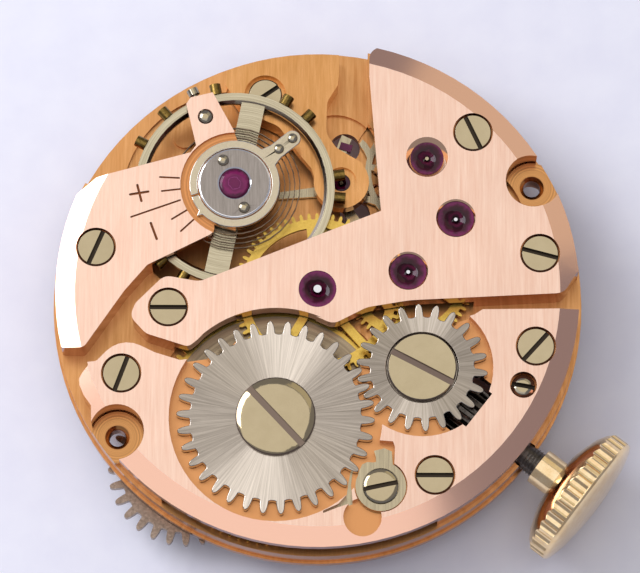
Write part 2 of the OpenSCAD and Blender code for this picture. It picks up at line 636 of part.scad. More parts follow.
module endstone() {
    color("#7a0f4a", 0.85) at(BALANCE, bridge_top - 0.1)
        rotate_extrude() polygon([[0, 0], [0.495, 0], [0.495, 0.2], [0.36, 0.25], [0.18, 0.27], [0, 0.275]]);
}
module cap_screws() {
    color("#c9c2a8") for (p = CAP_SCREWS) at(p, bridge_top + 0.145) {
        rotate_extrude() polygon([[0, 0], [0.19, 0], [0.19, 0.03], [0.15, 0.09], [0.07, 0.12], [0, 0.125]]);
        translate([0, 0, -0.35]) cylinder(r = 0.095, h = 0.36);
    }
}

module regulator() {
    color("#c2bda6") difference() {
        at(BALANCE, bridge_top - 0.09) linear_extrude(height = 0.17) difference() {
            union() {
                circle(r = regulator_r, $fn = 120);
                rotate(reg_a) polygon(concat(
                    [[1.2, -0.42]], [[1.75, -0.27]], arc_pts([2.46, 0], 0.27, -90, 90, 10), [[1.75, 0.27]], [[1.2, 0.42]]));
                rotate(222) polygon([[1.4, -0.12], [1.66, 0], [1.4, 0.12]]);
            }
            circle(r = cap_r + 0.03, $fn = 120);
            rotate(197) translate([1, -0.03]) square([1, 0.06]);
        }
        for (r = REG_PINS) at(BALANCE) rotate(reg_a) translate([r, 0, 0]) cylinder(r = 0.06, h = 5);
    }
}
reg_a = 39.5;
REG_PINS = [1.88, 2.46];
module regulator_pins() {
    color("#d8d8d6") for (r = REG_PINS) at(BALANCE, 0) rotate(reg_a) translate([r, 0, bridge_top + 0.085]) {
        rotate_extrude() polygon([[0, 0], [0.17, 0], [0.15, 0.06], [0.08, 0.1], [0, 0.11]]);
        translate([0, 0, -0.4]) cylinder(r = 0.055, h = 0.41);
    }
}
module hairspring_stud() {
    color("#d8d8d6") at(STUD) {
        translate([0, 0, 1.95]) cylinder(r = 0.18, h = 0.32);
        translate([0, 0, bridge_top - 0.08]) rotate_extrude()
            polygon([[0, 0], [0.25, 0], [0.25, 0.03], [0.2, 0.11], [0.1, 0.15], [0, 0.16]]);
    }
}
module stud_screw() {
    color("#c9c2a8") at(STUD, stud_screw_z) rotate([0, 90, stud_a]) {
        translate([0, 0, 0.19]) cylinder(r = 0.08, h = 0.66);
        difference() {
            translate([0, 0, 0.84]) cylinder(r = 0.19, h = 0.22);
            translate([-0.03, -1, 0.97]) cube([0.06, 2, 1]);
        }
    }
}
// Flat spiral blade from radius r0 to r1
function spiral(r0, r1, turns, t, per) =
    let (n = turns * per)
    concat([for (i = [0:n]) let (a = 360 * i / per, r = r0 + (r1 - r0) * i / n) [(r + t / 2) * cos(a), (r + t / 2) * sin(a)]],
           [for (i = [n:-1:0]) let (a = 360 * i / per, r = r0 + (r1 - r0) * i / n) [(r - t / 2) * cos(a), (r - t / 2) * sin(a)]]);
module hairspring() {
    color("#4a4038") at(BALANCE, hairspring_z) linear_extrude(height = hairspring_h)
        rotate(reg_a) polygon(spiral(0.36, 2.17, hairspring_turns, hairspring_t, 30));
}
module collet() {
    color("#c2b070") at(BALANCE, hairspring_z - 0.02) linear_extrude(height = hairspring_h + 0.03)
        difference() {
            circle(r = 0.33);
            circle(r = 0.165);
            rotate(120) translate([0, -0.02]) square([1, 0.04]);
        }
}
module balance_wheel() {
    color("#a9a79c") at(BALANCE) {
        difference() {
            translate([0, 0, balance_z]) rotate_extrude($fn = 180)
                polygon([[balance_r - rim_t, 0], [balance_r, 0], [balance_r, balance_h],
                         [balance_r - rim_t + 0.1, balance_h], [balance_r - rim_t, balance_h - 0.1]]);
            for (a = BALANCE_SCREW_A) rotate(a) translate([balance_r - 0.14, 0, balance_z + 0.11])
                rotate([0, 90, 0]) cylinder(r = 0.055, h = 1);
        }
        translate([0, 0, balance_z + 0.04]) linear_extrude(height = 0.13) difference() {
            union() {
                circle(r = 0.62);
                rotate(78.5) intersection() {
                    translate([-balance_r, -arm_w / 2]) square([2 * balance_r, arm_w]);
                    circle(r = balance_r - rim_t + 0.1, $fn = 120);
                }
            }
            circle(r = 0.225);
        }
    }
}
// Angles of the balance screws, in pairs on each half of the rim
BALANCE_SCREW_A = [for (k = [0, 180]) for (a = [-5, 8, 46, 61, 101, 132, 153]) k + a];
module balance_screws() {
    color("#6d5c33") at(BALANCE, balance_z + 0.11) for (a = BALANCE_SCREW_A) rotate(a)
        translate([balance_r - 0.13, 0, 0]) rotate([0, 90, 0]) {
            cylinder(r = 0.05, h = 0.14);
            difference() {
                translate([0, 0, 0.135]) cylinder(r = balance_screw_r, h = 0.36);
                translate([-0.03, -1, 0.42]) cube([0.06, 2, 1]);
            }
        }
}
module balance_staff() {
    color("#cfcfcb") at(BALANCE) rotate_extrude()
        polygon([[0, 0.135], [pivot_r, 0.135], [pivot_r, 0.42], [0.12, 0.5], [0.12, 0.92], [0.3, 0.95], [0.3, 1.74],
                 [0.22, 1.74], [0.22, 1.9], [0.16, 1.92], [0.16, 2.06], [0.1, 2.1], [pivot_r, 2.12], [pivot_r, 2.245],
                 [0, 2.245]]);
}
module roller() {
    color("#cfcfcb") at(BALANCE) difference() {
        union() {
            translate([0, 0, 0.72]) cylinder(r = 0.72, h = 0.14);
            translate([0, 0, 0.6]) cylinder(r = 0.3, h = 0.26);
            rotate(fork_a + 180) translate([0.55, 0, escape_z + escape_t + 0.05]) cylinder(r = 0.08, h = 0.2);
        }
        translate([0, 0, 0.3]) cylinder(r = 0.125, h = 1);
    }
}
module pallet_fork() {
    color("#b8b6ac") at(PALLET, escape_z) linear_extrude(height = escape_t) difference() {
        union() {
            circle(r = 0.25);
            // Lever with its forked end
            rotate(fork_a) polygon([[0, -0.2], [2.4, -0.1], [2.62, -0.3], [2.92, -0.34], [2.95, -0.13], [2.72, -0.1],
                                    [2.72, 0.1], [2.95, 0.13], [2.92, 0.34], [2.62, 0.3], [2.4, 0.1], [0, 0.2]]);
            translate(ESCAPE - PALLET) polygon(concat(
                arc_pts([0, 0], stone_tip_r + 0.12, to_pallet + 37, to_pallet - 37, 20),
                arc_pts([0, 0], stone_tip_r + 0.48, to_pallet - 37, to_pallet + 37, 20)));
        }
        circle(r = 0.12);
        translate(ESCAPE - PALLET) for (a = [-30, 30]) rotate(to_pallet + a)
            translate([stone_tip_r - 0.1, -0.1275]) square([0.505, 0.255]);
    }
}
to_pallet = atan2(PALLET[1] - ESCAPE[1], PALLET[0] - ESCAPE[0]);
stone_tip_r = escape_r + pallet_gap;
module pallet_stones() {
    color("#6a1046", 0.85) at(ESCAPE, escape_z - 0.03) for (a = [-30, 30]) rotate(to_pallet + a)
        translate([stone_tip_r, -0.125, 0]) cube([0.4, 0.25, escape_t + 0.08]);
}
module pallet_arbor() {
    color("#cfcfcb") at(PALLET) rotate_extrude()
        polygon([[0, 0.07], [pivot_r, 0.07], [pivot_r, 0.32], [0.115, 0.36], [0.115, 0.98], [pivot_r, 1.02],
                 [pivot_r, 1.3], [0, 1.3]]);
}
module escape_wheel() {
    color("#b8b6ac") at(ESCAPE) {
        translate([0, 0, escape_z]) linear_extrude(height = escape_t) union() {
            difference() {
                union() {
                    circle(r = 2.02, $fn = 120);
                    for (i = [0:escape_n - 1]) rotate(escape_phase + i * 360 / escape_n)
                        polygon([[1.95, 0.12], [2.08, 0.05], [2.22, -0.04], [escape_r - 0.04, -0.1], [escape_r - 0.005, 0.08],
                                 [2.33, 0.16], [2.18, 0.24], [1.95, 0.44]]);
                }
                crossed(1.82, 0.42, 4, 0.2, 84);
                circle(r = 0.15);
            }
        }
        rotate_extrude() polygon([[0, 0.05], [pivot_r, 0.05], [pivot_r, 0.36], [0.15, 0.36], [0.15, 0.62], [0.11, 0.66],
                                  [0.11, 1.75], [pivot_r, 1.8], [pivot_r, 2.16], [0, 2.16]]);
        translate([0, 0, 0.98]) linear_extrude(height = 0.6)
            polygon(teeth(escape_pin_n, pinion_profile(escape_pin_pr, escape_pin_n), escape_pin_phase));
    }
}
escape_phase = 153.5;

module train_wheel(pr, n, hub, arms, w, a0) {
    difference() {
        polygon(teeth(n, wheel_profile(pr, n)));
        crossed(pr - 0.42, hub, arms, w, a0);
    }
}
module fourth_wheel() {
    color("#d2b94b") at(FOURTH) {
        translate([0, 0, fourth_wheel_z]) linear_extrude(height = wheel_t) rotate(fourth_phase)
            train_wheel(fourth_pr, fourth_n, 0.4, 4, 0.2, 20);
        rotate_extrude() polygon([[0, 0.8], [pivot_r, 0.8], [pivot_r, 1.08], [0.13, 1.1], [0.13, 1.72],
                                  [pivot_r, 1.76], [pivot_r, 2.2], [0, 2.2]]);
        translate([0, 0, fourth_wheel_z + wheel_t]) linear_extrude(height = 0.3)
            polygon(teeth(fourth_pin_n, pinion_profile(fourth_pin_pr, fourth_pin_n), fourth_pin_phase));
    }
}
module third_wheel() {
    color("#d2b94b") at(THIRD) {
        translate([0, 0, third_wheel_z]) linear_extrude(height = wheel_t) rotate(third_phase)
            train_wheel(third_pr, third_n, 0.45, 4, 0.22, 30);
        rotate_extrude() polygon([[0, 0.62], [pivot_r, 0.62], [pivot_r, 1.12], [0.13, 1.36], [0.13, 1.72],
                                  [pivot_r, 1.76], [pivot_r, 2.2], [0, 2.2]]);
        translate([0, 0, third_wheel_z + wheel_t]) linear_extrude(height = 0.24)
            polygon(teeth(third_pin_n, pinion_profile(third_pin_pr, third_pin_n), third_pin_phase));
    }
}
module centre_wheel() {
    color("#d2b94b") at(CENTRE) {
        translate([0, 0, centre_wheel_z]) linear_extrude(height = wheel_t + 0.02) rotate(centre_phase)
            train_wheel(centre_pr, centre_n, 0.6, 5, 0.28, 12);
        rotate_extrude() polygon([[0, -1.0], [0.19, -1.0], [0.19, 0.66], [0.3, 0.7], [0.3, 1.74], [0.13, 1.78],
                                  [0.13, bridge_top], [0, bridge_top]]);
        translate([0, 0, 0.78]) linear_extrude(height = 0.66)
            polygon(teeth(centre_pin_n, pinion_profile(centre_pin_pr, centre_pin_n), centre_pin_phase));
    }
}
// Phases that bring the teeth into mesh at rest
function axis_a(p, q) = atan2(q[1] - p[1], q[0] - p[0]);
barrel_phase = axis_a(BARREL, CENTRE);
centre_pin_phase = axis_a(CENTRE, BARREL) + 180 / centre_pin_n;
centre_phase = axis_a(CENTRE, THIRD);
third_pin_phase = axis_a(THIRD, CENTRE) + 180 / third_pin_n;
third_phase = axis_a(THIRD, FOURTH);
fourth_pin_phase = axis_a(FOURTH, THIRD) + 180 / fourth_pin_n;
fourth_phase = axis_a(FOURTH, ESCAPE);
escape_pin_phase = axis_a(ESCAPE, FOURTH) + 180 / escape_pin_n;
ratchet_phase = axis_a(BARREL, CROWN_WHEEL);
crown_wheel_phase = axis_a(CROWN_WHEEL, BARREL) + 180 / crown_wheel_n;

module barrel_drum() {
    color("#c9a84a") at(BARREL) difference() {
        union() {
            translate([0, 0, drum_z]) cylinder(r = drum_r, h = lid_top - 0.02 - drum_z, $fn = 120);
            translate([0, 0, 1.06]) linear_extrude(height = 0.2) rotate(barrel_phase)
                polygon(teeth(barrel_n, wheel_profile(barrel_pr, barrel_n)));
        }
        translate([0, 0, drum_z + 0.12]) cylinder(r = drum_r - 0.2, h = 5, $fn = 120);
        translate([0, 0, lid_top - 0.14]) cylinder(r = drum_r - 0.12, h = 5, $fn = 120);
        cylinder(r = 0.44, h = 5);
    }
}
module barrel_lid() {
    color("#b9a98a") at(BARREL, lid_top - 0.135) difference() {
        cylinder(r = drum_r - 0.125, h = 0.135, $fn = 120);
        translate([0, 0, -1]) cylinder(r = 0.5, h = 3);
    }
}
module barrel_arbor() {
    color("#cfcfcb") at(BARREL) difference() {
        union() {
            translate([0, 0, 0.03]) cylinder(r = 0.42, h = 0.5);
            translate([0, 0, 0.46]) cylinder(r = 0.8, h = 0.76);
            translate([0, 0, 1.2]) cylinder(r = 0.48, h = bridge_top - recess_d + 0.03 - 1.2);
            translate([-0.32, -0.32, 1.9]) cube([0.64, 0.64, 0.36]);
        }
        translate([0, 0, 1.6]) cylinder(r = 0.2, h = 2);
    }
}
module mainspring() {
    color("#7d8287") at(BARREL, 0.47) linear_extrude(height = 0.74)
        polygon(spiral(0.95, 3.4, mainspring_turns, 0.11, 24));
}
module ratchet_wheel() {
    color("#b9b6ac") at(BARREL, wheel_z) linear_extrude(height = wind_t) difference() {
        rotate(ratchet_phase) polygon(teeth(ratchet_n, winding_profile(ratchet_pr + wind_m * 0.88, wind_m)));
        square(0.66, center = true);
    }
}
wheel_z = bridge_top - recess_d + 0.05;
module ratchet_screw() {
    color("#d3cba8") at(BARREL, wheel_z + wind_t + 0.17) screw(ratchet_head_r, 0.17, 0.19, 0.6, -47, 0.04, wide_slot_w);
}
module crown_wheel() {
    color("#b9b6ac") at(CROWN_WHEEL, wheel_z) difference() {
        linear_extrude(height = wind_t) rotate(crown_wheel_phase)
            polygon(teeth(crown_wheel_n, winding_profile(crown_wheel_pr + wind_m * 0.88, wind_m)));
        translate([0, 0, -1]) cylinder(r = 0.8, h = 3);
        translate([0, 0, wind_t - 0.12]) cylinder(r = crown_head_r + 0.05, h = 3);
    }
}
module crown_wheel_seat() {
    color("#cfcfcb") at(CROWN_WHEEL, bridge_top - recess_d) difference() {
        cylinder(r = 0.77, h = wind_t - 0.04);
        translate([0, 0, -1]) cylinder(r = 0.3, h = 3);
    }
}
module crown_wheel_screw() {
    color("#d3cba8") at(CROWN_WHEEL, bridge_top - recess_d + wind_t - 0.04 + 0.23)
        screw(crown_head_r, 0.23, 0.29, 0.8, -28, 0.04, wide_slot_w);
}
module click() {
    color("#a59f8a") at(CLICK, bridge_top - recess_d + 0.04) difference() {
        linear_extrude(height = 0.3) union() {
            circle(r = 0.82);
            polygon([[0.40, 0.5], [0.36, 1.15], [0.12, 1.26], [-0.22, 1.17], [-0.16, 0.98], [-0.15, 0.78],
                     [-0.44, 0.80], [-0.60, 0.72], [-0.70, 0.5], [-0.78, 0.2], [-0.7, -0.1]]);
        }
        translate([0, 0, -1]) cylinder(r = 0.3, h = 5);
        translate([0, 0, 0.16]) cylinder(r = 0.6, h = 5);
    }
}
module click_screw() {
    color("#c9c2a8") at(CLICK, bridge_top + 0.08) screw(0.57, 0.25, 0.19, 0.8, 12, 0.03);
    color("#c9c2a8") at(CLICK, bridge_top - recess_d) difference() {
        cylinder(r = 0.27, h = 0.23);
        translate([0, 0, -1]) cylinder(r = 0.19, h = 5);
    }
}
module click_spring_shape() {
    polygon([[1.15, -7.15], [1.1, -6.5], [1.16, -6.0], [1.1, -6.0], [1.02, -6.4], [0.95, -6.9], [0.68, -7.2], [0.2, -7.42],
             [0.2, -7.5], [0.7, -7.3]]);
}
module click_spring() {
    color("#a59f8a") plate2d(bridge_top - recess_d, bridge_top - recess_d + 0.04)
        click_spring_shape();
}

module winding_pinion() {
    color("#55524e") on_stem(5.85) difference() {
        linear_extrude(height = 0.75) polygon(teeth(wind_pinion_n, pinion_profile(wind_pinion_r - 0.13, wind_pinion_n, 0.24)));
        translate([0, 0, -1]) cylinder(r = stem_r - 0.06 + 0.02, h = 5);
    }
}
module castle_wheel() {
    color("#55524e") on_stem(5.18) difference() {
        union() {
            cylinder(r = 0.72, h = 0.22);
            cylinder(r = 0.5, h = 0.62);
            translate([0, 0, 0.4]) cylinder(r = 0.72, h = 0.22);
        }
        translate([-0.27, -0.27, -1]) cube([0.54, 0.54, 5]);
    }
}
module winding_stem() {
    color("#4c4845") {
        on_stem(3.55) cylinder(r = 0.22, h = 1.2);
        on_stem(4.65) translate([-0.25, -0.25, 0]) cube([0.5, 0.5, 1.2]);
        on_stem(5.84) cylinder(r = stem_r - 0.06, h = 0.85);
        on_stem(6.66) cylinder(r = stem_r, h = 0.44);
        on_stem(7.1) cylinder(r = 0.25, h = 0.5);
        on_stem(7.45) cylinder(r = stem_r, h = 1.7);
    }
}
module crown() {
    color("#e2bd62") on_stem(9.16) difference() {
        union() {
            cylinder(r = neck_r, h = neck_l + 0.1);
            translate([0, 0, neck_l]) rotate_extrude($fn = 180)
                polygon([[0, 0], [neck_r + 0.02, 0], [crown_r * 0.49, 0.02], [crown_r * 0.63, crown_back * 0.21],
                         [crown_r * 0.805, crown_back * 0.48], [crown_r * 0.92, crown_back * 0.78],
                         [crown_r - 0.065, crown_back], [crown_r, crown_back + 0.06],
                         [crown_r, crown_back + crown_l - 0.05], [crown_r - 0.04, crown_back + crown_l],
                         [crown_r - 0.14, crown_back + crown_l + 0.05],
                         [crown_r * 0.75, crown_back + crown_l + crown_dome * 0.55],
                         [crown_r * 0.4, crown_back + crown_l + crown_dome * 0.9],
                         [0, crown_back + crown_l + crown_dome]]);
        }
        for (i = [0:crown_flutes - 1]) rotate((i + 0.5) * 360 / crown_flutes)
            translate([crown_r + 0.125, 0, neck_l + crown_back - 0.15]) cylinder(r = 0.215, h = crown_l + 0.05);
    }
}

YOKE = [6.4 * cos(stem_a) + 1.75 * sin(stem_a), 6.4 * sin(stem_a) - 1.75 * cos(stem_a)];
SPRING_FOOT = [7.0 * cos(stem_a) + 2.6 * sin(stem_a), 7.0 * sin(stem_a) - 2.6 * cos(stem_a)];
lever_z = -0.24;
// The setting wheel's tooth gap faces the minute wheel's tooth
setting_a = atan2(MINUTE[1] - SETTING[1], MINUTE[0] - SETTING[0]);
minute_phase = -80.1 + 180 + 180 / minute_n;
setting_phase = setting_a + 180 / setting_n
    + (setting_a + 180 - minute_phase) * minute_n / setting_n;
// Lever shapes are drawn in stem coordinates on the dial side
module on_dial(z0, z1) { rotate(stem_a) plate2d(z0, z1) children(); }
module setting_lever() {
    color("#8f8d86") {
        difference() {
            on_dial(lever_z, -0.06) polygon(rounded([[7.0, -0.32, 0.12], [7.55, -0.32, 0.12], [7.75, 1.3, 0.3],
                [7.6, 1.9, 0.3], [6.95, 1.9, 0.3], [6.75, 1.3, 0.2]]));
            disc(LEVER_SCREW, 0.18, -1, 1);
        }
        rotate(stem_a) translate([7.275, 0, -0.08]) cylinder(r = 0.12, h = stem_z - 0.27 + 0.08 - 0.01);
    }
}
module setting_lever_screw() {
    color("#c9c2a8") at(LEVER_SCREW, 2.25) screw(0.39, 0.38, 0.15, 2.15, LEVER_SCREW[2], 0.08);
}
module yoke() {
    color("#8f8d86") {
        difference() {
            on_dial(lever_z, -0.06) polygon(rounded([[6.75, -1.95, 0.25], [6.1, -2.1, 0.25], [5.3, -0.6, 0.3], [5.3, 0.15, 0.1],
                [5.68, 0.15, 0.1], [5.72, -0.5, 0.3], [6.75, -1.5, 0.25]]));
            disc(YOKE, 0.14, -1, 1);
        }
        rotate(stem_a) translate([5.49, 0, -0.08]) cylinder(r = 0.08, h = stem_z - 0.52 + 0.08 - 0.01);
    }
}
module yoke_spring() {
    color("#8f8d86") {
        on_dial(lever_z, -0.06) polygon([[7.2, -2.9], [6.8, -2.9], [6.6, -2.54], [5.1, -1.5], [4.98, -0.7], [5.08, -0.65],
            [5.2, -1.42], [6.7, -2.46], [7.2, -2.46]]);
        at(SPRING_FOOT, -0.3) {
            cylinder(r = 0.25, h = 0.06);
            cylinder(r = 0.14, h = 0.6);
        }
    }
}

module setting_wheel() {
    color("#8f8d86") at(SETTING) translate([0, 0, -0.2]) linear_extrude(height = 0.4) difference() {
        polygon(teeth(setting_n, wheel_profile(0.8, setting_n), setting_phase));
        circle(r = 0.18);
    }
}
module cannon_pinion() {
    color("#cfcfcb") difference() {
        union() {
            translate([0, 0, -cannon_l]) cylinder(r = minute_seat_r, h = cannon_l - 0.05);
            translate([0, 0, minute_seat_l - cannon_l]) cylinder(r1 = cannon_r, r2 = cannon_r + 0.01, h = cannon_l - minute_seat_l - 0.05);
            translate([0, 0, -0.22]) linear_extrude(height = 0.17)
                polygon(teeth(cannon_n, pinion_profile(0.6, cannon_n), -80.1));
        }
        translate([0, 0, -1.02]) cylinder(r = 0.205, h = 3);
    }
}
module minute_wheel() {
    color("#d2b94b") at(MINUTE) {
        translate([0, 0, -0.2]) linear_extrude(height = 0.13)
            difference() {
                polygon(teeth(minute_n, wheel_profile(1.8, minute_n), -80.1 + 180 + 180 / minute_n));
                circle(r = 0.15 + 0.03);
            }
        translate([0, 0, -0.42]) linear_extrude(height = 0.225) difference() {
            polygon(teeth(minute_pin_n, pinion_profile(0.48, minute_pin_n), 99.9));
            circle(r = 0.15 + 0.03);
        }
    }
}
module hour_wheel() {
    color("#d2b94b") difference() {
        union() {
            translate([0, 0, -0.42]) linear_extrude(height = 0.15)
                polygon(teeth(hour_n, wheel_profile(1.92, hour_n), -80.1 + 180 / hour_n));
            translate([0, 0, -0.95]) cylinder(r = hour_seat_r, h = 0.6);
        }
        translate([0, 0, -2]) cylinder(r = cannon_r + 0.03, h = 3);
    }
}
module under_wheel() {
    color("#7a6f66") at(UNDER) {
        translate([0, 0, -0.34]) linear_extrude(height = 0.26) difference() {
            polygon(teeth(under_n, winding_profile(under_r, wind_m), -128));
            circle(r = 0.44);
        }
    }
}

main_plate();
barrel_bridge();
train_bridge();
balance_cock();
pallet_cock();
escape_lower_bridge();
bridge_screws();
balance_cock_screw();
pallet_cock_screw();
lower_bridge_screws();
train_jewels();
lower_jewels();
pallet_cock_jewel();
balance_hole_jewel();
cap_plate();
endstone();
cap_screws();
lower_endstone();
regulator();
regulator_pins();
hairspring_stud();
stud_screw();
hairspring();
collet();
balance_wheel();
balance_screws();
balance_staff();
roller();
pallet_fork();
pallet_stones();
pallet_arbor();
escape_wheel();
fourth_wheel();
third_wheel();
centre_wheel();
barrel_drum();
barrel_lid();
barrel_arbor();
mainspring();
ratchet_wheel();
ratchet_screw();
crown_wheel();
crown_wheel_seat();
crown_wheel_screw();
click();
click_screw();
click_spring();
winding_pinion();
castle_wheel();
winding_stem();
crown();
setting_lever();
setting_lever_screw();
yoke();
yoke_spring();
setting_wheel();
cannon_pinion();
minute_wheel();
hour_wheel();
under_wheel();
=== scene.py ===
"""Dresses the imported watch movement: finishes, fine detail, floor, light and camera."""
import logging
import math
from dataclasses import dataclass, replace
from enum import Enum

import bmesh
import bpy
from mathutils import Matrix, Vector


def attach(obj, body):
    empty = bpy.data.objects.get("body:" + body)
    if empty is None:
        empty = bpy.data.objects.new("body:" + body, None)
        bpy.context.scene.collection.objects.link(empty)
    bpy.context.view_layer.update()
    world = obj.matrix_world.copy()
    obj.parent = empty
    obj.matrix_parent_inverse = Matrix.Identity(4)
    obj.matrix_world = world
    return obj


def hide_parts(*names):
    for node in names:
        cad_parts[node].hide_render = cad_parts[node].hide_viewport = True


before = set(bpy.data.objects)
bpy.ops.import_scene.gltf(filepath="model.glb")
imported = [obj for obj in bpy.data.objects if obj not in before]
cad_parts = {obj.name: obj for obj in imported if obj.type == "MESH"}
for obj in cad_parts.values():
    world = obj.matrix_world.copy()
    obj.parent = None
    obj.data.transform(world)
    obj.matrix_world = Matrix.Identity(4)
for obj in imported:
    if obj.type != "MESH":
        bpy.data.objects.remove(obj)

LOG = logging.getLogger("movement")
MM = 0.001

# Axes of the movement, as x and y in millimetres
CENTRE = (0.0, 0.0)
BARREL = (-1.35, -4.30)
CROWN_AXIS = (3.41, -2.63)
THIRD = (2.97, 0.62)
FOURTH = (4.54, 2.42)
ESCAPE = (3.60, 4.52)
PALLET = (0.78, 3.93)
BALANCE = (-2.74, 3.56)
SCALE_MARKS = (-5.1, 2.85)
CASE_HOLES = ((-6.51, -4.80), (7.09, 3.72))
STEM_ANGLE = math.radians(-37.8)
STEM_HEIGHT = 1.0

# Least upward look of a face that counts as level, and most of one that counts as a wall
LEVEL_FACE = 0.985
STEEP_FACE = 0.3
# Range in which nearly all values of a noise texture lie
NOISE_LOW = 0.3
NOISE_HIGH = 0.7
# Reach of a patch that covers its piece to the edge, in millimetres
NO_LIMIT = 20.0
# Share of a patch's colour that is left in its turned grooves
GROOVE_SHADE = 0.62
# Roughness in a finish's grooves and on its crests, as shares of the finish's own
GROOVE_ROUGHNESS = 1.18
CREST_ROUGHNESS = 0.85
# How fast the lines of a sunburst change outwards, and those of a turned face round it
SUNBURST_CHANGE = 0.5
TURNED_CHANGE = 1.2
# Scale and range of the faint clouds on a gilded face
CLOUD_SCALE = 0.45
CLOUD_LOW = 0.35
CLOUD_HIGH = 0.65
# Angle between two faces, in degrees, above which the edge between them is shaded sharp
CREASE = 40.0

Socket = bpy.types.NodeSocket
Tree = bpy.types.NodeTree
Point = tuple[float, float]
Colour = tuple[float, float, float, float]


def linear(code: str) -> Colour:
    """Turn an sRGB hex colour into linear light.

    Args:
        code: The colour as "#rrggbb".

    Returns:
        Linear red, green and blue with an alpha of 1.
    """
    parts = [int(code[i:i + 2], 16) / 255 for i in (1, 3, 5)]
    turned = [c / 12.92 if c <= 0.04045 else ((c + 0.055) / 1.055) ** 2.4 for c in parts]
    return (*turned, 1.0)


def add(tree: Tree, kind: str, inputs: dict | None = None, **settings: object) -> bpy.types.Node:
    """Add a node with its settings and its links.

    Args:
        tree: The node tree that takes the node.
        kind: The node's type name.
        inputs: Socket name or index to a value, or to the output socket that feeds it.
        settings: Attributes to set on the node before its sockets are filled.

    Returns:
        The new node.
    """
    made = tree.nodes.new(kind)
    for name, value in settings.items():
        setattr(made, name, value)
    for socket, value in (inputs or {}).items():
        if isinstance(value, Socket):
            tree.links.new(value, made.inputs[socket])
        else:
            made.inputs[socket].default_value = value
    return made


def maths(tree: Tree, operation: str, *values: object) -> Socket:
    """Work out a number.

    Args:
        tree: The node tree that takes the node.
        operation: The math node's operation.
        values: Numbers or sockets, in the operation's order.

    Returns:
        The result's socket.
    """
    return add(tree, "ShaderNodeMath", dict(enumerate(values)), operation=operation).outputs[0]


def vector(tree: Tree, operation: str, *values: object, output: str = "Vector") -> Socket:
    """Work out a vector, or a number from vectors.

    Args:
        tree: The node tree that takes the node.
        operation: The vector math node's operation.
        values: Vectors or sockets, in the operation's order.
        output: "Vector" or "Value".

    Returns:
        The result's socket.
    """
    made = add(tree, "ShaderNodeVectorMath", dict(enumerate(values)), operation=operation)
    return made.outputs[output]


def scaled(tree: Tree, value: Socket, factor: object) -> Socket:
    """Scale a vector or a colour.

    Args:
        tree: The node tree that takes the node.
        value: The socket to scale.
        factor: A number or a socket.

    Returns:
        The scaled socket.
    """
    return add(tree, "ShaderNodeVectorMath", {0: value, "Scale": factor},
               operation="SCALE").outputs[0]


def remap(tree: Tree, value: Socket, first: float, last: float, low: float = NOISE_LOW,
          high: float = NOISE_HIGH) -> Socket:
    """Stretch a range of values to another one, and clamp what lies outside.

    Args:
        tree: The node tree that takes the node.
        value: The socket to stretch.
        first: What the lower end becomes.
        last: What the upper end becomes.
        low: The lower end.
        high: The upper end.

    Returns:
        The stretched socket.
    """
    ends = {0: value, 1: low, 2: high, 3: first, 4: last}
    return add(tree, "ShaderNodeMapRange", ends).outputs[0]


def noise(tree: Tree, place: Socket, scale: float, detail: float, roughness: float = 0.5) -> Socket:
    """Add a noise texture.

    Args:
        tree: The node tree that takes the node.
        place: The position that is looked up.
        scale: Its scale.
        detail: Its number of octaves.
        roughness: How strong the finer octaves are.

    Returns:
        A socket from 0 to 1.
    """
    return add(tree, "ShaderNodeTexNoise", {"Vector": place, "Scale": scale, "Detail": detail,
                                            "Roughness": roughness}).outputs[0]


def ramp(tree: Tree, factor: Socket, stops: list[tuple[float, Colour]]) -> Socket:
    """Add a colour ramp.

    Args:
        tree: The node tree that takes the node.
        factor: The socket that drives the ramp.
        stops: Position and linear colour of each stop, lowest first.

    Returns:
        The ramp's colour socket.
    """
    made = add(tree, "ShaderNodeValToRGB", {0: factor})
    band = made.color_ramp
    while len(band.elements) < len(stops):
        band.elements.new(0.5)
    for element, (position, colour) in zip(band.elements, stops):
        element.position = position
        element.color = colour
    return made.outputs[0]


def between(tree: Tree, value: Socket, low: float, high: float) -> Socket:
    """Tell whether a value lies between two limits.

    Args:
        tree: The node tree that takes the nodes.
        value: The socket to test.
        low: The lower limit.
        high: The upper limit.

    Returns:
        A socket that is 1 inside the limits and 0 outside.
    """
    above = maths(tree, "GREATER_THAN", value, low)
    below = maths(tree, "LESS_THAN", value, high)
    return maths(tree, "MULTIPLY", above, below)


def nearest(tree: Tree, local: Socket, centres: tuple[Point, ...]) -> Socket:
    """Measure how far a position is from the nearest of several upright axes.

    Args:
        tree: The node tree that takes the nodes.
        local: Position in millimetres.
        centres: The axes, as x and y in millimetres.

    Returns:
        A socket with the distance in millimetres.
    """
    flat = vector(tree, "MULTIPLY", local, (1, 1, 0))
    found = None
    for x, y in centres:
        reach = vector(tree, "DISTANCE", flat, (x, y, 0), output="Value")
        found = reach if found is None else maths(tree, "MINIMUM", found, reach)
    return found


def blend(tree: Tree, mask: Socket, first: object, second: object, kind: str) -> Socket:
    """Mix two colours or numbers.

    Args:
        tree: The node tree that takes the node.
        mask: Share of the second one.
        first: A socket or a value.
        second: A socket or a value.
        kind: RGBA for colours, FLOAT for numbers.

    Returns:
        The mixed socket.
    """
    low, out = (6, 2) if kind == "RGBA" else (2, 0)
    return add(tree, "ShaderNodeMix", {0: mask, low: first, low + 1: second},
               data_type=kind).outputs[out]


def object_place(tree: Tree) -> Socket:
    """Return the object position in metres."""
    return add(tree, "ShaderNodeTexCoord").outputs["Object"]


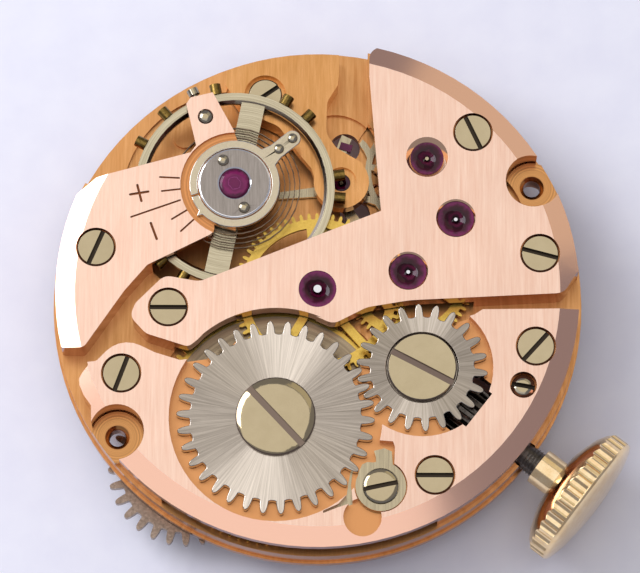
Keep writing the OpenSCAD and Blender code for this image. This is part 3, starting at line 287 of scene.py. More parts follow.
def relief(tree: Tree, shader: bpy.types.Node, height: Socket, strength: float,
           depth: float) -> None:
    """Raise a shader's surface by a pattern.

    Args:
        tree: The node tree that takes the node.
        shader: The shader whose normal is bent.
        height: The pattern, from 0 to 1.
        strength: Share of the bump that is used.
        depth: Height of the pattern in millimetres.
    """
    raised = add(tree, "ShaderNodeBump", {"Height": height, "Strength": strength,
                                          "Distance": depth * MM})
    tree.links.new(raised.outputs[0], shader.inputs["Normal"])


def new_material(name: str) -> tuple[bpy.types.Material, Tree, bpy.types.Node]:
    """Start a material.

    Args:
        name: The material's name.

    Returns:
        The material, its node tree and its Principled shader.
    """
    material = bpy.data.materials.new(name)
    material.use_nodes = True
    return material, material.node_tree, material.node_tree.nodes["Principled BSDF"]


class Grain(Enum):
    """How a metal surface was worked, which sets the run of its fine lines."""

    STRAIGHT = "straight"
    SUNBURST = "sunburst"
    TURNED = "turned"
    FROSTED = "frosted"


@dataclass(frozen=True)
class Patch:
    """Part of a metal piece that was worked or tinted in another way, found by its place.

    It lies between two heights and between two distances from the nearest of its centres, all
    in millimetres. Rings and thread are the pitch of turned grooves, round the centre or up
    the wall, or 0 for none.
    """

    colour: str
    roughness: float
    centres: tuple[Point, ...] = (CENTRE,)
    inner: float = -1.0
    outer: float = NO_LIMIT
    low: float = -NO_LIMIT
    high: float = NO_LIMIT
    rings: float = 0.0
    thread: float = 0.0
    flat_only: bool = False


@dataclass(frozen=True)
class MetalFinish:
    """A metal with worked lines.

    Sizes are in millimetres. The pattern's centre is the axis that the piece was turned or
    brushed about. Side is the colour of all faces that aren't level. Wall is a painted shade
    laid over the faces that are nearly upright.
    """

    name: str
    light: str
    dark: str
    roughness: float
    grain: Grain = Grain.FROSTED
    pitch: float = 0.06
    run: float = 3.0
    angle: float = 0.0
    centre: Point = CENTRE
    depth: float = 0.004
    contrast: float = 0.5
    anisotropy: float = 0.0
    blotch: float = 0.0
    side: str | None = None
    side_roughness: float = 0.12
    wall: str | None = None
    patches: tuple[Patch, ...] = ()

    def _facing(self, tree: Tree) -> Socket:
        """Return how far each face looks upwards, from -1 to 1."""
        normal = add(tree, "ShaderNodeNewGeometry").outputs["True Normal"]
        return add(tree, "ShaderNodeSeparateXYZ", {0: normal}).outputs[2]

    def _work_patch(self, tree: Tree, place: Socket, patch: Patch, state: tuple) -> tuple:
        """Lay one patch over the finish so far.

        Args:
            tree: The material's node tree.
            place: Position in millimetres.
            patch: The patch to lay.
            state: Colour, roughness and height sockets so far.

        Returns:
            The three sockets with the patch laid over them.
        """
        colour, shine, height = state
        level = add(tree, "ShaderNodeSeparateXYZ", {0: place}).outputs[2]
        reach = nearest(tree, place, patch.centres)
        mask = between(tree, level, patch.low, patch.high)
        if patch.outer < NO_LIMIT:
            ring = between(tree, reach, patch.inner, patch.outer)
            mask = maths(tree, "MULTIPLY", mask, ring)
        if patch.flat_only:
            level_face = maths(tree, "GREATER_THAN", self._facing(tree), LEVEL_FACE)
            mask = maths(tree, "MULTIPLY", mask, level_face)
        new = linear(patch.colour)
        if patch.rings or patch.thread:
            source, pitch = (reach, patch.rings) if patch.rings else (level, patch.thread)
            turns = maths(tree, "MULTIPLY", source, 1 / pitch)
            waves = add(tree, "ShaderNodeTexNoise", {"W": turns, "Scale": 1.0, "Detail": 3.0,
                                                     "Roughness": 0.7},
                        noise_dimensions="1D").outputs[0]
            deep = tuple(c * GROOVE_SHADE for c in new[:3]) + (1.0,)
            new = ramp(tree, waves, [(NOISE_LOW, deep), (NOISE_HIGH, new)])
            height = blend(tree, mask, height, waves, "FLOAT")
        return (blend(tree, mask, colour, new, "RGBA"),
                blend(tree, mask, shine, patch.roughness, "FLOAT"), height)

    def _lines(self, tree: Tree, local: Socket) -> Socket:
        """Return the grey pattern of the worked lines.

        Args:
            tree: The material's node tree.
            local: Position in millimetres from the pattern's centre.

        Returns:
            A socket from 0 in the grooves to 1 on the crests.
        """
        if self.grain is Grain.STRAIGHT:
            stretch = (1 / self.pitch, 1 / self.run, 1.0)
            turned = add(tree, "ShaderNodeMapping", {
                0: local, "Rotation": (0, 0, math.radians(self.angle)), "Scale": stretch})
            return noise(tree, turned.outputs[0], 1.0, detail=5.0, roughness=0.7)
        if self.grain is Grain.FROSTED:
            return noise(tree, local, 1 / self.pitch, detail=4.0, roughness=0.65)
        split = add(tree, "ShaderNodeSeparateXYZ", {0: local}).outputs
        flat = add(tree, "ShaderNodeCombineXYZ", {0: split[0], 1: split[1]}).outputs[0]
        radius = vector(tree, "LENGTH", flat, output="Value")
        turn = maths(tree, "ARCTAN2", split[1], split[0])
        if self.grain is Grain.SUNBURST:
            across = maths(tree, "MULTIPLY", turn, self.run / self.pitch)
            along = maths(tree, "MULTIPLY", radius, SUNBURST_CHANGE)
        else:
            across = maths(tree, "MULTIPLY", radius, 1 / self.pitch)
            along = maths(tree, "MULTIPLY", turn, TURNED_CHANGE)
        joined = add(tree, "ShaderNodeCombineXYZ", {0: across, 1: along, 2: split[2]}).outputs[0]
        return noise(tree, joined, 1.0, detail=4.0, roughness=0.6)

    def _tangent(self, tree: Tree, local: Socket) -> Socket | None:
        """Return the direction across the grooves, along which highlights stretch."""
        if self.grain is Grain.STRAIGHT:
            turn = math.radians(-self.angle)
            way = {0: math.cos(turn), 1: math.sin(turn), 2: 0.0}
            return add(tree, "ShaderNodeCombineXYZ", way).outputs[0]
        if self.grain is Grain.SUNBURST:
            return vector(tree, "NORMALIZE", vector(tree, "CROSS_PRODUCT", local, (0, 0, 1)))
        if self.grain is Grain.TURNED:
            return vector(tree, "NORMALIZE", vector(tree, "MULTIPLY", local, (1, 1, 0)))
        return None

    def build(self) -> bpy.types.Material:
        """Make the material.

        Returns:
            The new material.
        """
        material, tree, shader = new_material(self.name)
        place = scaled(tree, object_place(tree), 1 / MM)
        local = vector(tree, "SUBTRACT", place, (*self.centre, 0))
        lines = self._lines(tree, local)
        half = 0.25 / self.contrast
        spread = remap(tree, lines, max(0.5 - half, 0.0), min(0.5 + half, 1.0))
        colour = ramp(tree, spread, [(0.0, linear(self.dark)), (1.0, linear(self.light))])
        if self.blotch:
            clouds = noise(tree, local, CLOUD_SCALE, detail=3.0)
            shade = remap(tree, clouds, 1.0 - self.blotch, 1.0, CLOUD_LOW, CLOUD_HIGH)
            colour = scaled(tree, colour, shade)
        shine = remap(tree, lines, self.roughness * GROOVE_ROUGHNESS,
                      self.roughness * CREST_ROUGHNESS)
        height = lines
        if self.side:
            cut = maths(tree, "LESS_THAN", self._facing(tree), LEVEL_FACE)
            colour = blend(tree, cut, colour, linear(self.side), "RGBA")
            shine = blend(tree, cut, shine, self.side_roughness, "FLOAT")
            height = blend(tree, cut, height, 0.5, "FLOAT")
        # Nearly upright faces get a painted shade in place of the lit metal colour.
        if self.wall:
            wall_shade_mask = maths(tree, "LESS_THAN", self._facing(tree), STEEP_FACE)
            colour = blend(tree, wall_shade_mask, colour, linear(self.wall), "RGBA")
        for patch in self.patches:
            colour, shine, height = self._work_patch(tree, place, patch, (colour, shine, height))
        tree.links.new(colour, shader.inputs["Base Color"])
        tree.links.new(shine, shader.inputs["Roughness"])
        shader.inputs["Metallic"].default_value = 1.0
        shader.inputs["Anisotropic"].default_value = self.anisotropy
        across = self._tangent(tree, local) if self.anisotropy else None
        if across:
            tree.links.new(across, shader.inputs["Tangent"])
        relief(tree, shader, height, strength=0.6, depth=self.depth)
        return material


@dataclass(frozen=True)
class RubyFinish:
    """Polished synthetic ruby: a deep magenta stone, sharply glossy, with the light through it
    painted in.

    Each stop is a distance from the stone's axis in millimetres, and the colour there: painted
    shade in the oil cup and in a band further out, painted glow round the cup and towards the rim.
    """

    name: str = "synthetic_ruby_painted_glow"
    stops: tuple[tuple[float, str], ...] = (
        (0.1, "#1c010a"), (0.2, "#52082c"), (0.3, "#26020b"), (0.42, "#3a0518"),
        (0.48, "#520c34"), (0.56, "#6e184c"))
    gloss: float = 0.16
    roughness: float = 0.05
    refraction: float = 1.77
    drift: float = 0.06

    def build(self) -> bpy.types.Material:
        """Make the material.

        Returns:
            The new material.
        """
        material, tree, shader = new_material(self.name)
        local = scaled(tree, object_place(tree), 1 / MM)
        reach = nearest(tree, local, (CENTRE, THIRD, FOURTH, ESCAPE, PALLET, BALANCE))
        clouds = noise(tree, local, 4.0, detail=2.0)
        blurred = maths(tree, "ADD", reach, remap(tree, clouds, -self.drift, self.drift))
        # The ramp paints the light that passes through the stone: shade in its hole, glow round it
        # and towards its rim.
        colour = ramp(tree, blurred, [(stop, linear(code)) for stop, code in self.stops])
        tree.links.new(colour, shader.inputs["Base Color"])
        shader.inputs["Roughness"].default_value = self.roughness
        shader.inputs["IOR"].default_value = self.refraction
        shader.inputs["Specular IOR Level"].default_value = self.gloss
        return material


@dataclass(frozen=True)
class PaperFinish:
    """Matte white photographic paper with a faint lavender cast."""

    name: str = "matte_white_paper"
    sheet: str = "#f3f3fb"
    shade: str = "#eeeef8"
    roughness: float = 0.85
    depth: float = 0.02

    def build(self) -> bpy.types.Material:
        """Make the material.

        Returns:
            The new material.
        """
        material, tree, shader = new_material(self.name)
        fibres = noise(tree, object_place(tree), 900.0, detail=5.0)
        colour = ramp(tree, fibres, [(NOISE_LOW, linear(self.shade)),
                                     (NOISE_HIGH, linear(self.sheet))])
        tree.links.new(colour, shader.inputs["Base Color"])
        shader.inputs["Roughness"].default_value = self.roughness
        relief(tree, shader, fibres, strength=0.15, depth=self.depth)
        return material


# Lower faces of the bridges: the same gilding left as milled, deeper and more orange.
MILLED = Patch("#d2945e", 0.3, high=2.2, flat_only=True)
# Countersinks round the jewels, cut with a polished tool.
COUNTERSINK = Patch(
    "#f0c6a2", 0.07, centres=(CENTRE, THIRD, FOURTH, ESCAPE), outer=0.74, low=1.9, high=2.3495)
# Floors of the cut scale and signs on the cock, painted brown as the shade in the cuts.
SCALE_GROOVE_SHADE = Patch("#7a4a30", 0.5, centres=(SCALE_MARKS,), outer=1.3, low=2.28, high=2.347)
# The bed of the regulator is turned and frosted orange.
REGULATOR_BED = Patch(
    "#d8935a", 0.3, centres=(BALANCE,), outer=1.8, low=2.1, high=2.3, rings=0.06)
# Rose gilding over brass, drawn straight on emery: pale pink gold with fine lines that run
# up the picture. Its upright walls are painted in a pinkish brown shade.
ROSE = MetalFinish(
    "rose_gilded_brass_straight_grained", light="#f8dcc6", dark="#dcac90", roughness=0.33,
    grain=Grain.STRAIGHT, pitch=0.07, run=1.8, angle=-8.0, depth=0.005, contrast=1.0,
    anisotropy=0.5, blotch=0.05, side="#ecbda4", side_roughness=0.13, wall="#a8705c",
    patches=(MILLED, COUNTERSINK, SCALE_GROOVE_SHADE, REGULATOR_BED))
# Turned seats round the two case screw holes, and the holes' threaded walls.
CASE_SEAT = Patch(
    "#d69a5e", 0.22, centres=CASE_HOLES, inner=0.3, outer=0.92, low=1.2, high=1.6, rings=0.05)
CASE_THREAD = Patch("#a86a3c", 0.25, centres=CASE_HOLES, outer=0.3, high=1.6, thread=0.09)
# Gilded brass drawn lightly one way: deeper orange gold with a soft sheen. Its upright walls are
# painted in a brown shade.
GILT = MetalFinish(
    "gilded_brass_satin", light="#e4a96e", dark="#cb8d51", roughness=0.34, grain=Grain.STRAIGHT,
    pitch=0.12, run=2.2, angle=4.0, depth=0.002, contrast=0.55, blotch=0.14, side="#d09560",
    side_roughness=0.16, wall="#b87a4c", patches=(CASE_SEAT, CASE_THREAD))
# The pallet cock is gilded as the plate is, a little yellower.
GILT_COCK = MetalFinish(
    "gilded_brass_satin_cock", light="#e4a96c", dark="#cc9050", roughness=0.3,
    grain=Grain.STRAIGHT, pitch=0.1, run=1.6, angle=-4.0, depth=0.002, contrast=0.5, blotch=0.1,
    side="#e2ac6c", side_roughness=0.14)
# Hardened steel, polished flat: mirror-like with a warm cast.
SCREW = MetalFinish(
    "hardened_steel_polished", light="#bbab88", dark="#b4a481", roughness=0.1,
    grain=Grain.FROSTED, pitch=0.6, depth=0.0002, contrast=0.3, side="#a39a86")
# Steel winding wheels brushed outwards from the middle: a sunburst that flashes in wedges.
RATCHET = MetalFinish(
    "steel_sunburst_brushed", light="#d8ccba", dark="#ab9f8e", roughness=0.38,
    grain=Grain.SUNBURST, pitch=0.05, run=3.0, centre=BARREL, depth=0.003, contrast=0.7,
    anisotropy=0.95, side="#cfc6b8")
# The crown wheel has the same brushing about its own axis.
CROWN_WHEEL = MetalFinish(
    "steel_sunburst_brushed_small", light="#c8bcaa", dark="#9a8e7d", roughness=0.38,
    grain=Grain.SUNBURST, pitch=0.05, run=2.0, centre=CROWN_AXIS, depth=0.003, contrast=0.7,
    anisotropy=0.95, side="#cfc6b8")
# Regulator: steel lapped flat, fine and matte.
REGULATOR = MetalFinish(
    "steel_lapped_matte", light="#cdbfa2", dark="#bdb093", roughness=0.3, grain=Grain.FROSTED,
    pitch=0.05, depth=0.0006, contrast=0.4, side="#e8e4da")
# Cap plate: steel brushed straight, grey, with a polished edge painted near white as a highlight.
CAP = MetalFinish(
    "steel_brushed_cap", light="#a39a90", dark="#857c72", roughness=0.32, grain=Grain.STRAIGHT,
    pitch=0.04, run=0.8, angle=35.0, depth=0.001, contrast=0.5, anisotropy=0.3, side="#f2f2f2",
    side_roughness=0.1)
# Nickel alloy balance: grey satin, turned about its staff.
BALANCE_METAL = MetalFinish(
    "nickel_alloy_satin", light="#d2c6a6", dark="#aa9e80", roughness=0.24, grain=Grain.TURNED,
    pitch=0.04, centre=BALANCE, depth=0.001, contrast=0.5, anisotropy=0.4, side="#b5aa98")
# Drawn hairspring alloy: fine dark blade with a brown cast.
SPRING = MetalFinish(
    "hairspring_alloy_drawn", light="#7c6a58", dark="#4c4036", roughness=0.25,
    grain=Grain.FROSTED, pitch=0.3, depth=0.0004)
# Turned brass, darkened: the little screws of the balance.
DARK_BRASS = MetalFinish(
    "brass_turned_dark", light="#94793e", dark="#5f4c24", roughness=0.25, grain=Grain.FROSTED,
    pitch=0.08, depth=0.001)
# Steel pivots that stand in the train's jewels.
PIVOTS = Patch("#dcdcdc", 0.1, centres=(CENTRE, THIRD, FOURTH), outer=0.32, low=1.8)
# Gilded brass train wheels: clear yellow.
YELLOW = MetalFinish(
    "train_wheel_gilded_brass", light="#e0bc5c", dark="#d2ac50", roughness=0.3,
    grain=Grain.FROSTED, pitch=0.06, depth=0.0003, contrast=0.3, patches=(PIVOTS,))
# Bare turned steel of the barrel lid, brown-grey in the shade under the wheels.
LID = MetalFinish(
    "steel_turned_lid", light="#b09c7e", dark="#7c6c56", roughness=0.3, grain=Grain.TURNED,
    pitch=0.08, centre=BARREL, depth=0.002, contrast=0.7, anisotropy=0.5)
# Hardened dark steel of the keyless works.
DARK_STEEL = MetalFinish(
    "hardened_steel_dark", light="#6a635c", dark="#45403b", roughness=0.3, grain=Grain.FROSTED,
    pitch=0.08, depth=0.002)
# Toothed wheel under the plate: steel with a brown cast.
BROWN_STEEL = MetalFinish(
    "steel_brown_cast", light="#a89484", dark="#7c6c5e", roughness=0.28, grain=Grain.FROSTED,
    pitch=0.1, depth=0.001)
# Plain brushed steel of the escapement and the click.
PLAIN_STEEL = MetalFinish(
    "steel_brushed", light="#c4b694", dark="#a3967a", roughness=0.26, grain=Grain.STRAIGHT,
    pitch=0.05, run=1.5, angle=20.0, depth=0.001, side="#cfc8b8")
# Gold plate, polished: the crown.
GOLD = MetalFinish(
    "gold_plate_polished", light="#f8e0b4", dark="#ecca94", roughness=0.13, grain=Grain.FROSTED,
    pitch=0.3, depth=0.001)
# Copper of the little ring beside the escape wheel.
COPPER = MetalFinish(
    "copper_turned", light="#d98f62", dark="#a9623a", roughness=0.2, grain=Grain.FROSTED,
    pitch=0.1, depth=0.0006)
# Polished ruby: the ring jewels, the lower endstone and the pallet stones.
RUBY = RubyFinish()
# The upper endstone is clearer, with a painted pale highlight ring where the light enters it and
# painted shade towards its rim.
ENDSTONE = RubyFinish("synthetic_ruby_endstone_painted_ring", (
    (0.1, "#6a1146"), (0.17, "#641044"), (0.19, "#8a2c68"), (0.22, "#641044"),
    (0.36, "#7c1a54"), (0.46, "#4a0a30")))


def smooth_rounds(limit: float) -> bpy.types.NodeTree:
    """Make, once for each limit, the node group that shades round faces smoothly.

    Args:
        limit: Angle between two faces, in degrees, above which their edge stays sharp.

    Returns:
        The geometry node group.
    """
    name = f"smooth_rounds_{limit:.0f}"
    if name in bpy.data.node_groups:
        return bpy.data.node_groups[name]
    tree = bpy.data.node_groups.new(name, "GeometryNodeTree")
    for way in ("INPUT", "OUTPUT"):
        tree.interface.new_socket(name="Geometry", in_out=way, socket_type="NodeSocketGeometry")
    start = add(tree, "NodeGroupInput").outputs[0]
    bare = add(tree, "GeometryNodeRemoveAttribute", {
        "Geometry": start, "Name": "custom_normal"}).outputs[0]
    faces = add(tree, "GeometryNodeSetShadeSmooth", {
        "Geometry": bare, "Shade Smooth": True}, domain="FACE").outputs[0]
    angle = add(tree, "GeometryNodeInputMeshEdgeAngle").outputs["Unsigned Angle"]
    soft = add(tree, "FunctionNodeCompare", {0: angle, 1: math.radians(limit)},
               data_type="FLOAT", operation="LESS_THAN").outputs[0]
    edges = add(tree, "GeometryNodeSetShadeSmooth", {
        "Geometry": faces, "Shade Smooth": soft}, domain="EDGE").outputs[0]
    tree.links.new(edges, add(tree, "NodeGroupOutput").inputs[0])
    return tree


@dataclass(frozen=True)
class Dressing:
    """CAD nodes that share one finish and one kind of edge.

    Edge is the width of the eased edges in millimetres, or 0 for sharp edges. Crease is the
    angle between two faces, in degrees, above which their edge is shaded sharp.
    """

    finish: MetalFinish | RubyFinish
    nodes: tuple[str, ...]
    edge: float = 0.0
    crease: float = CREASE
    weld: float = 0.001
    eased_from: float = 40.0

    def _dress(self, name: str, material: bpy.types.Material) -> None:
        """Give one node its finish, and ease its edges.

        Args:
            name: The node's name.
            material: The material for all of its faces.
        """
        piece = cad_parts[name]
        piece.data.materials.clear()
        piece.data.materials.append(material)
        joined = piece.modifiers.new("joined_faces", "WELD")
        joined.merge_threshold = self.weld * MM
        smooth = piece.modifiers.new("smooth_rounds", "NODES")
        smooth.node_group = smooth_rounds(self.crease)
        if self.edge:
            ease = piece.modifiers.new("eased_edges", "BEVEL")
            ease.width = self.edge * MM
            ease.segments = 2
            ease.limit_method = "ANGLE"
            ease.angle_limit = math.radians(self.eased_from)
            ease.use_clamp_overlap = True
        level = piece.modifiers.new("level_faces", "WEIGHTED_NORMAL")
        level.keep_sharp = True
        LOG.info("dressed %s in %s", name, material.name)

    def apply(self) -> None:
        """Make the material and dress every node in it."""
        material = self.finish.build()
        for name in self.nodes:
            self._dress(name, material)


@dataclass
class Part:
    """A group of CAD nodes with their dressings, in order."""

    dressings: tuple[Dressing, ...] = ()

    def dress(self) -> None:
        """Apply every dressing."""
        for dressing in self.dressings:
            dressing.apply()


@dataclass
class Plates(Part):
    """Main plate, bridges and cocks. The bridges' low crease keeps their sloped rim crisp."""

    dressings: tuple[Dressing, ...] = (
        Dressing(ROSE, ("barrel_bridge", "train_bridge", "balance_cock"), edge=0.03,
                 crease=12.0),
        Dressing(GILT, ("main_plate", "escape_lower_bridge"), edge=0.015, crease=22.0),
        Dressing(GILT_COCK, ("pallet_cock",), edge=0.03))


@dataclass
class Fasteners(Part):
    """Screws of polished steel, with slotted heads.

    Each slotted head has the height just below its top face. What lies lower, the floor and
    walls of the slot and the sides of the head, is painted in shade: near black in the small
    screws, a lighter brown-grey in the two big ones.
    """

    dressings: tuple[Dressing, ...] = (
        Dressing(SCREW, ("lower_bridge_screws", "stud_screw", "hairspring_stud")),)
    slotted: tuple[tuple[str, float, str], ...] = (
        ("bridge_screws", 2.29, "#3a3229"), ("balance_cock_screw", 2.29, "#3a3229"),
        ("pallet_cock_screw", 1.42, "#3a3229"), ("click_screw", 2.36, "#3a3229"),
        ("setting_lever_screw", 2.12, "#2c2620"), ("ratchet_screw", 2.43, "#7d6d60"),
        ("crown_wheel_screw", 2.39, "#75655a"))
    edge: float = 0.02
    slot_roughness: float = 0.3

    def dress(self) -> None:
        """Dress every screw, and paint shade into the slots and below the heads."""
        super().dress()
        # Every face below a head's top is painted in its slot shade.
        for name, level, slot_shade in self.slotted:
            slot = Patch(slot_shade, self.slot_roughness, high=level)
            finish = replace(SCREW, name=f"{SCREW.name}_{name}", patches=(slot,))
            Dressing(finish, (name,), self.edge).apply()


@dataclass
class Jewels(Part):
    """Ring jewels, lower endstone and pallet stones."""

    dressings: tuple[Dressing, ...] = (
        Dressing(RUBY, ("train_jewels", "lower_jewels", "pallet_cock_jewel",
                        "balance_hole_jewel", "lower_endstone", "pallet_stones")),)


@dataclass
class Wheels(Part):
    """Going train, winding and setting works, escapement and balance."""

    dressings: tuple[Dressing, ...] = (
        Dressing(RATCHET, ("ratchet_wheel",), edge=0.02),
        Dressing(CROWN_WHEEL, ("crown_wheel",), edge=0.02),
        Dressing(REGULATOR, ("regulator",), edge=0.02),
        Dressing(CAP, ("cap_plate",), edge=0.02, crease=25.0),
        Dressing(YELLOW, ("centre_wheel", "third_wheel", "fourth_wheel", "barrel_drum",
                          "minute_wheel", "hour_wheel")),
        Dressing(LID, ("barrel_lid",)),
        Dressing(BALANCE_METAL, ("balance_wheel",), edge=0.012),
        Dressing(DARK_BRASS, ("balance_screws", "collet")),
        Dressing(SPRING, ("hairspring",)),
        Dressing(PLAIN_STEEL, ("escape_wheel", "pallet_fork", "click", "click_spring",
                               "crown_wheel_seat", "balance_staff", "roller", "pallet_arbor",
                               "barrel_arbor", "cannon_pinion")),
        Dressing(DARK_STEEL, ("mainspring", "winding_pinion", "castle_wheel", "winding_stem",
                              "setting_lever", "yoke", "yoke_spring", "setting_wheel")),
        Dressing(BROWN_STEEL, ("under_wheel",)),
        Dressing(GOLD, ("crown",), edge=0.03))


def link_mesh(bm: bmesh.types.BMesh, name: str, material: bpy.types.Material) -> bpy.types.Object:
    """Turn a form into an object of the scene, and free it.

    Args:
        bm: The form in metres.
        name: The object's name.
        material: Its finish.

    Returns:
        The new object, at the origin.
    """
    mesh = bpy.data.meshes.new(name)
    bm.to_mesh(mesh)
    bm.free()
    mesh.materials.append(material)
    made = bpy.data.objects.new(name, mesh)
    bpy.context.scene.collection.objects.link(made)
    return made


def hang(bm: bmesh.types.BMesh, name: str, body: str,
         material: bpy.types.Material) -> bpy.types.Object:
    """Make a form an object with smooth faces, and hang it on its body.

    Args:
        bm: The form in millimetres.
        name: The piece's name.
        body: The body that carries it.
        material: Its finish.

    Returns:
        The new object.
    """
    bmesh.ops.scale(bm, verts=bm.verts, vec=(MM, MM, MM))
    for face in bm.faces:
        face.smooth = True
    piece = link_mesh(bm, name, material)
    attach(piece, body)
    LOG.info("added %s", name)
    return piece


@dataclass
class DomedHeads:
    """Round-topped pieces, turned with more steps than the CAD mesh has.

    The finer steps make their highlights round. Sizes are in millimetres. Each head stands on
    a shank at one or more places. A shank of length 0 is left out.
    """

    node: str
    body: str
    slot: str
    material: bpy.types.Material
    places: tuple[Point, ...]
    seat_z: float
    radius: float
    rim: float
    height: float
    shank_r: float = 0.0
    shank_l: float = 0.0
    steps: int = 48
    weld: float = 0.0005

    def _profile(self) -> list[Point]:
        """Return radius and height of the profile's corners, from the bottom up to the top."""
        rise = self.height - self.rim
        arc = [math.radians(angle) for angle in range(0, 91, 10)]
        dome = [(self.radius * math.cos(a), self.rim + rise * math.sin(a)) for a in arc]
        if not self.shank_l:
            return [(0.0, 0.0), (self.radius, 0.0), *dome]
        return [(0.0, -self.shank_l), (self.shank_r, -self.shank_l), (self.shank_r, 0.0),
                (self.radius, 0.0), *dome]

    def build(self) -> None:
        """Turn the heads and put them in place of the node."""
        bm = bmesh.new()
        for x, y in self.places:
            points = [bmesh.ops.create_vert(bm, co=(x + r, y, self.seat_z + z))["vert"][0]
                      for r, z in self._profile()]
            edges = []
            for pair in zip(points, points[1:]):
                edges += bmesh.ops.contextual_create(bm, geom=list(pair))["edges"]
            bmesh.ops.spin(bm, geom=points + edges, cent=(x, y, 0), axis=(0, 0, 1),
                           angle=math.tau, steps=self.steps, use_merge=True)
        bmesh.ops.remove_doubles(bm, verts=bm.verts, dist=self.weld)
        bmesh.ops.recalc_face_normals(bm, faces=bm.faces)
        for edge in bm.edges:
            sharp = edge.is_manifold and edge.calc_face_angle() >= math.radians(CREASE)
            edge.smooth = not sharp
        piece = hang(bm, f"{self.node}_turned", self.body, self.material)
        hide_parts(self.node)


@dataclass
class BalanceTop:
    """Endstone, cap plate screws and regulator pins: the small round tops over the balance."""

    cap_screws: tuple[Point, ...] = ((-3.12, 4.34), (-2.42, 2.72))
    regulator_angle: float = 39.5
    pin_reach: tuple[float, ...] = (1.88, 2.46)

    def _pins(self) -> tuple[Point, ...]:
        """Return the places of the regulator's pins."""
        turn = math.radians(self.regulator_angle)
        x, y = BALANCE
        return tuple((x + r * math.cos(turn), y + r * math.sin(turn)) for r in self.pin_reach)

    def build(self) -> None:
        """Turn the three kinds of piece."""
        steel = SCREW.build()
        DomedHeads("endstone", "frame", "ruby", ENDSTONE.build(), (BALANCE,), seat_z=2.25,
                   radius=0.495, rim=0.2, height=0.275, steps=64).build()
        DomedHeads("cap_screws", "frame", "screw_steel", steel, self.cap_screws, seat_z=2.495,
                   radius=0.19, rim=0.03, height=0.125, shank_r=0.095, shank_l=0.35).build()
        DomedHeads("regulator_pins", "regulator", "wheel_steel", steel, self._pins(),
                   seat_z=2.435, radius=0.17, rim=0.01, height=0.11, shank_r=0.055,
                   shank_l=0.4).build()


@dataclass
class FineDetail:
    """Thread of the stem and copper ring beside the escape wheel, in millimetres."""

    thread_start: float = 8.71
    thread_pitch: float = 0.11
    thread_turns: int = 4
    thread_r: float = 0.405
    thread_steps: int = 32
    ring_place: tuple[float, float, float] = (2.00, 3.97, 0.33)
    ring_r: float = 0.19
    ring_wire: float = 0.045

    def _section(self, segments: int, radius: float, spot: tuple) -> bmesh.types.BMesh:
        """Draw the upright section that is swept.

        Args:
            segments: Number of its corners.
            radius: Its radius.
            spot: Its middle.

        Returns:
            The new form.
        """
        bm = bmesh.new()
        bmesh.ops.create_circle(bm, cap_ends=False, segments=segments, radius=radius)
        upright = Matrix.Rotation(math.radians(90), 3, "X")
        bmesh.ops.rotate(bm, verts=bm.verts, matrix=upright)
        bmesh.ops.translate(bm, verts=bm.verts, vec=spot)
        return bm

    def _close(self, bm: bmesh.types.BMesh) -> None:
        """Fill a swept form's open ends and turn its faces outwards."""
        rims = [edge for edge in bm.edges if edge.is_boundary]
        bmesh.ops.holes_fill(bm, edges=rims, sides=0)
        bmesh.ops.recalc_face_normals(bm, faces=bm.faces)

    def thread(self) -> None:
        """Cut the thread that the crown is screwed on."""
        start = (self.thread_start, 0, self.thread_r)
        bm = self._section(3, self.thread_pitch * 0.52, start)
        bmesh.ops.spin(bm, geom=bm.verts[:] + bm.edges[:], cent=(0, 0, 0), axis=(1, 0, 0),
                       dvec=(self.thread_pitch / self.thread_steps, 0, 0),
                       angle=math.tau * self.thread_turns,
                       steps=self.thread_steps * self.thread_turns)
        bmesh.ops.rotate(bm, verts=bm.verts, matrix=Matrix.Rotation(STEM_ANGLE, 3, "Z"))
        bmesh.ops.translate(bm, verts=bm.verts, vec=(0, 0, STEM_HEIGHT))
        self._close(bm)
        hang(bm, "stem_thread", "stem", DARK_STEEL.build())

    def ring(self) -> None:
        """Set the copper ring beside the escape wheel."""
        bm = self._section(12, self.ring_wire, (self.ring_r, 0, 0))
        bmesh.ops.spin(bm, geom=bm.verts[:] + bm.edges[:], cent=(0, 0, 0), axis=(0, 0, 1),
                       angle=math.tau, steps=40, use_merge=True)
        bmesh.ops.translate(bm, verts=bm.verts, vec=self.ring_place)
        self._close(bm)
        hang(bm, "copper_ring", "frame", COPPER.build())

    def build(self) -> None:
        """Build both pieces."""
        self.thread()
        self.ring()


@dataclass(frozen=True)
class SoftLight:
    """A square soft light that faces the movement: millimetres, watts and an sRGB colour."""

    name: str
    spot: tuple[float, float, float]
    size: float
    power: float
    colour: str

    def set_up(self) -> None:
        """Put the light in the scene."""
        lamp = bpy.data.lights.new(self.name, "AREA")
        lamp.size = self.size * MM
        lamp.energy = self.power
        lamp.color = linear(self.colour)[:3]
        made = bpy.data.objects.new(self.name, lamp)
        place = Vector(self.spot) * MM
        turn = place.to_track_quat("Z", "Y").to_matrix().to_4x4()
        made.matrix_world = Matrix.Translation(place) @ turn
        bpy.context.scene.collection.objects.link(made)


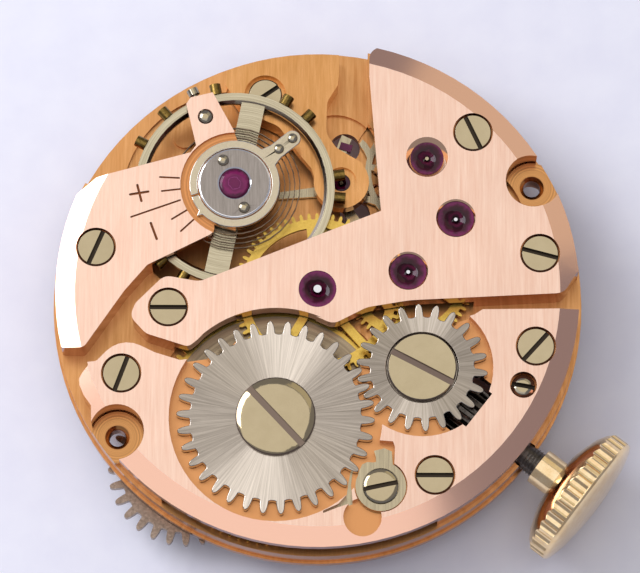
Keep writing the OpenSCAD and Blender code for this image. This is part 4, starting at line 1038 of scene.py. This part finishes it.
@dataclass
class Studio:
    """Paper floor, pale room, soft lights and the camera, in millimetres and degrees."""

    tilt: float = 15.4559
    distance: float = 139.63
    aim: tuple[float, float, float] = (0.0803, 0.3095, 1.5)
    focal_px: float = 4242.5
    picture_px: float = 640.0
    sensor: float = 36.0
    roll: float = 0.1465
    floor_z: float = -1.36
    floor_half: float = 600.0
    room: str = "#eeeeff"
    room_strength: float = 0.38
    lights: tuple[SoftLight, ...] = (
        SoftLight("softbox_over", (-32, 10, 200), size=235, power=0.138, colour="#fffdfa"),
        SoftLight("window_left", (-118, 62, 108), size=110, power=0.205, colour="#f4f6ff"),
        SoftLight("wall_right", (120, 170, 190), size=150, power=0.0315, colour="#fff3c6"))

    def camera(self) -> None:
        """Place the camera where the photograph was taken from."""
        tilt, roll = math.radians(self.tilt), math.radians(self.roll)
        back = Vector((0, -math.sin(tilt), math.cos(tilt)))
        right = Vector((1, 0, 0))
        up = right.cross(-back)
        turned_right = math.cos(roll) * right + math.sin(roll) * up
        turned_up = -math.sin(roll) * right + math.cos(roll) * up
        lens = bpy.data.cameras.new("photo_camera")
        lens.sensor_width = self.sensor
        lens.sensor_fit = "HORIZONTAL"
        lens.lens = self.focal_px / self.picture_px * self.sensor
        lens.clip_start = 0.002
        lens.clip_end = 5.0
        camera = bpy.data.objects.new("photo_camera", lens)
        spot = (Vector(self.aim) + self.distance * back) * MM
        turn = Matrix((turned_right, turned_up, back)).transposed()
        camera.matrix_world = Matrix.Translation(spot) @ turn.to_4x4()
        bpy.context.scene.collection.objects.link(camera)
        bpy.context.scene.camera = camera

    def floor(self) -> None:
        """Lay the sheet of paper."""
        bm = bmesh.new()
        bmesh.ops.create_grid(bm, x_segments=1, y_segments=1, size=self.floor_half * MM)
        bmesh.ops.translate(bm, verts=bm.verts, vec=(0, 0, self.floor_z * MM))
        paper = link_mesh(bm, "paper", PaperFinish().build())

    def world(self) -> None:
        """Make the pale room that the metal mirrors."""
        world = bpy.data.worlds.new("pale_room")
        world.use_nodes = True
        sky = world.node_tree.nodes["Background"]
        sky.inputs["Color"].default_value = linear(self.room)
        sky.inputs["Strength"].default_value = self.room_strength
        bpy.context.scene.world = world

    def set_up(self) -> None:
        """Build the floor, the room, the lights and the camera."""
        self.floor()
        self.world()
        for light in self.lights:
            light.set_up()
        self.camera()
        bpy.context.scene.view_settings.view_transform = "Standard"


def main() -> None:
    """Dress the frame, add the fine pieces and set up the studio."""
    logging.basicConfig(level=logging.INFO, format="%(name)s: %(message)s")
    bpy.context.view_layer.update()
    for part in (Plates(), Fasteners(), Jewels(), Wheels()):
        part.dress()
    BalanceTop().build()
    FineDetail().build()
    Studio().set_up()


if __name__ == "__main__":
    main()
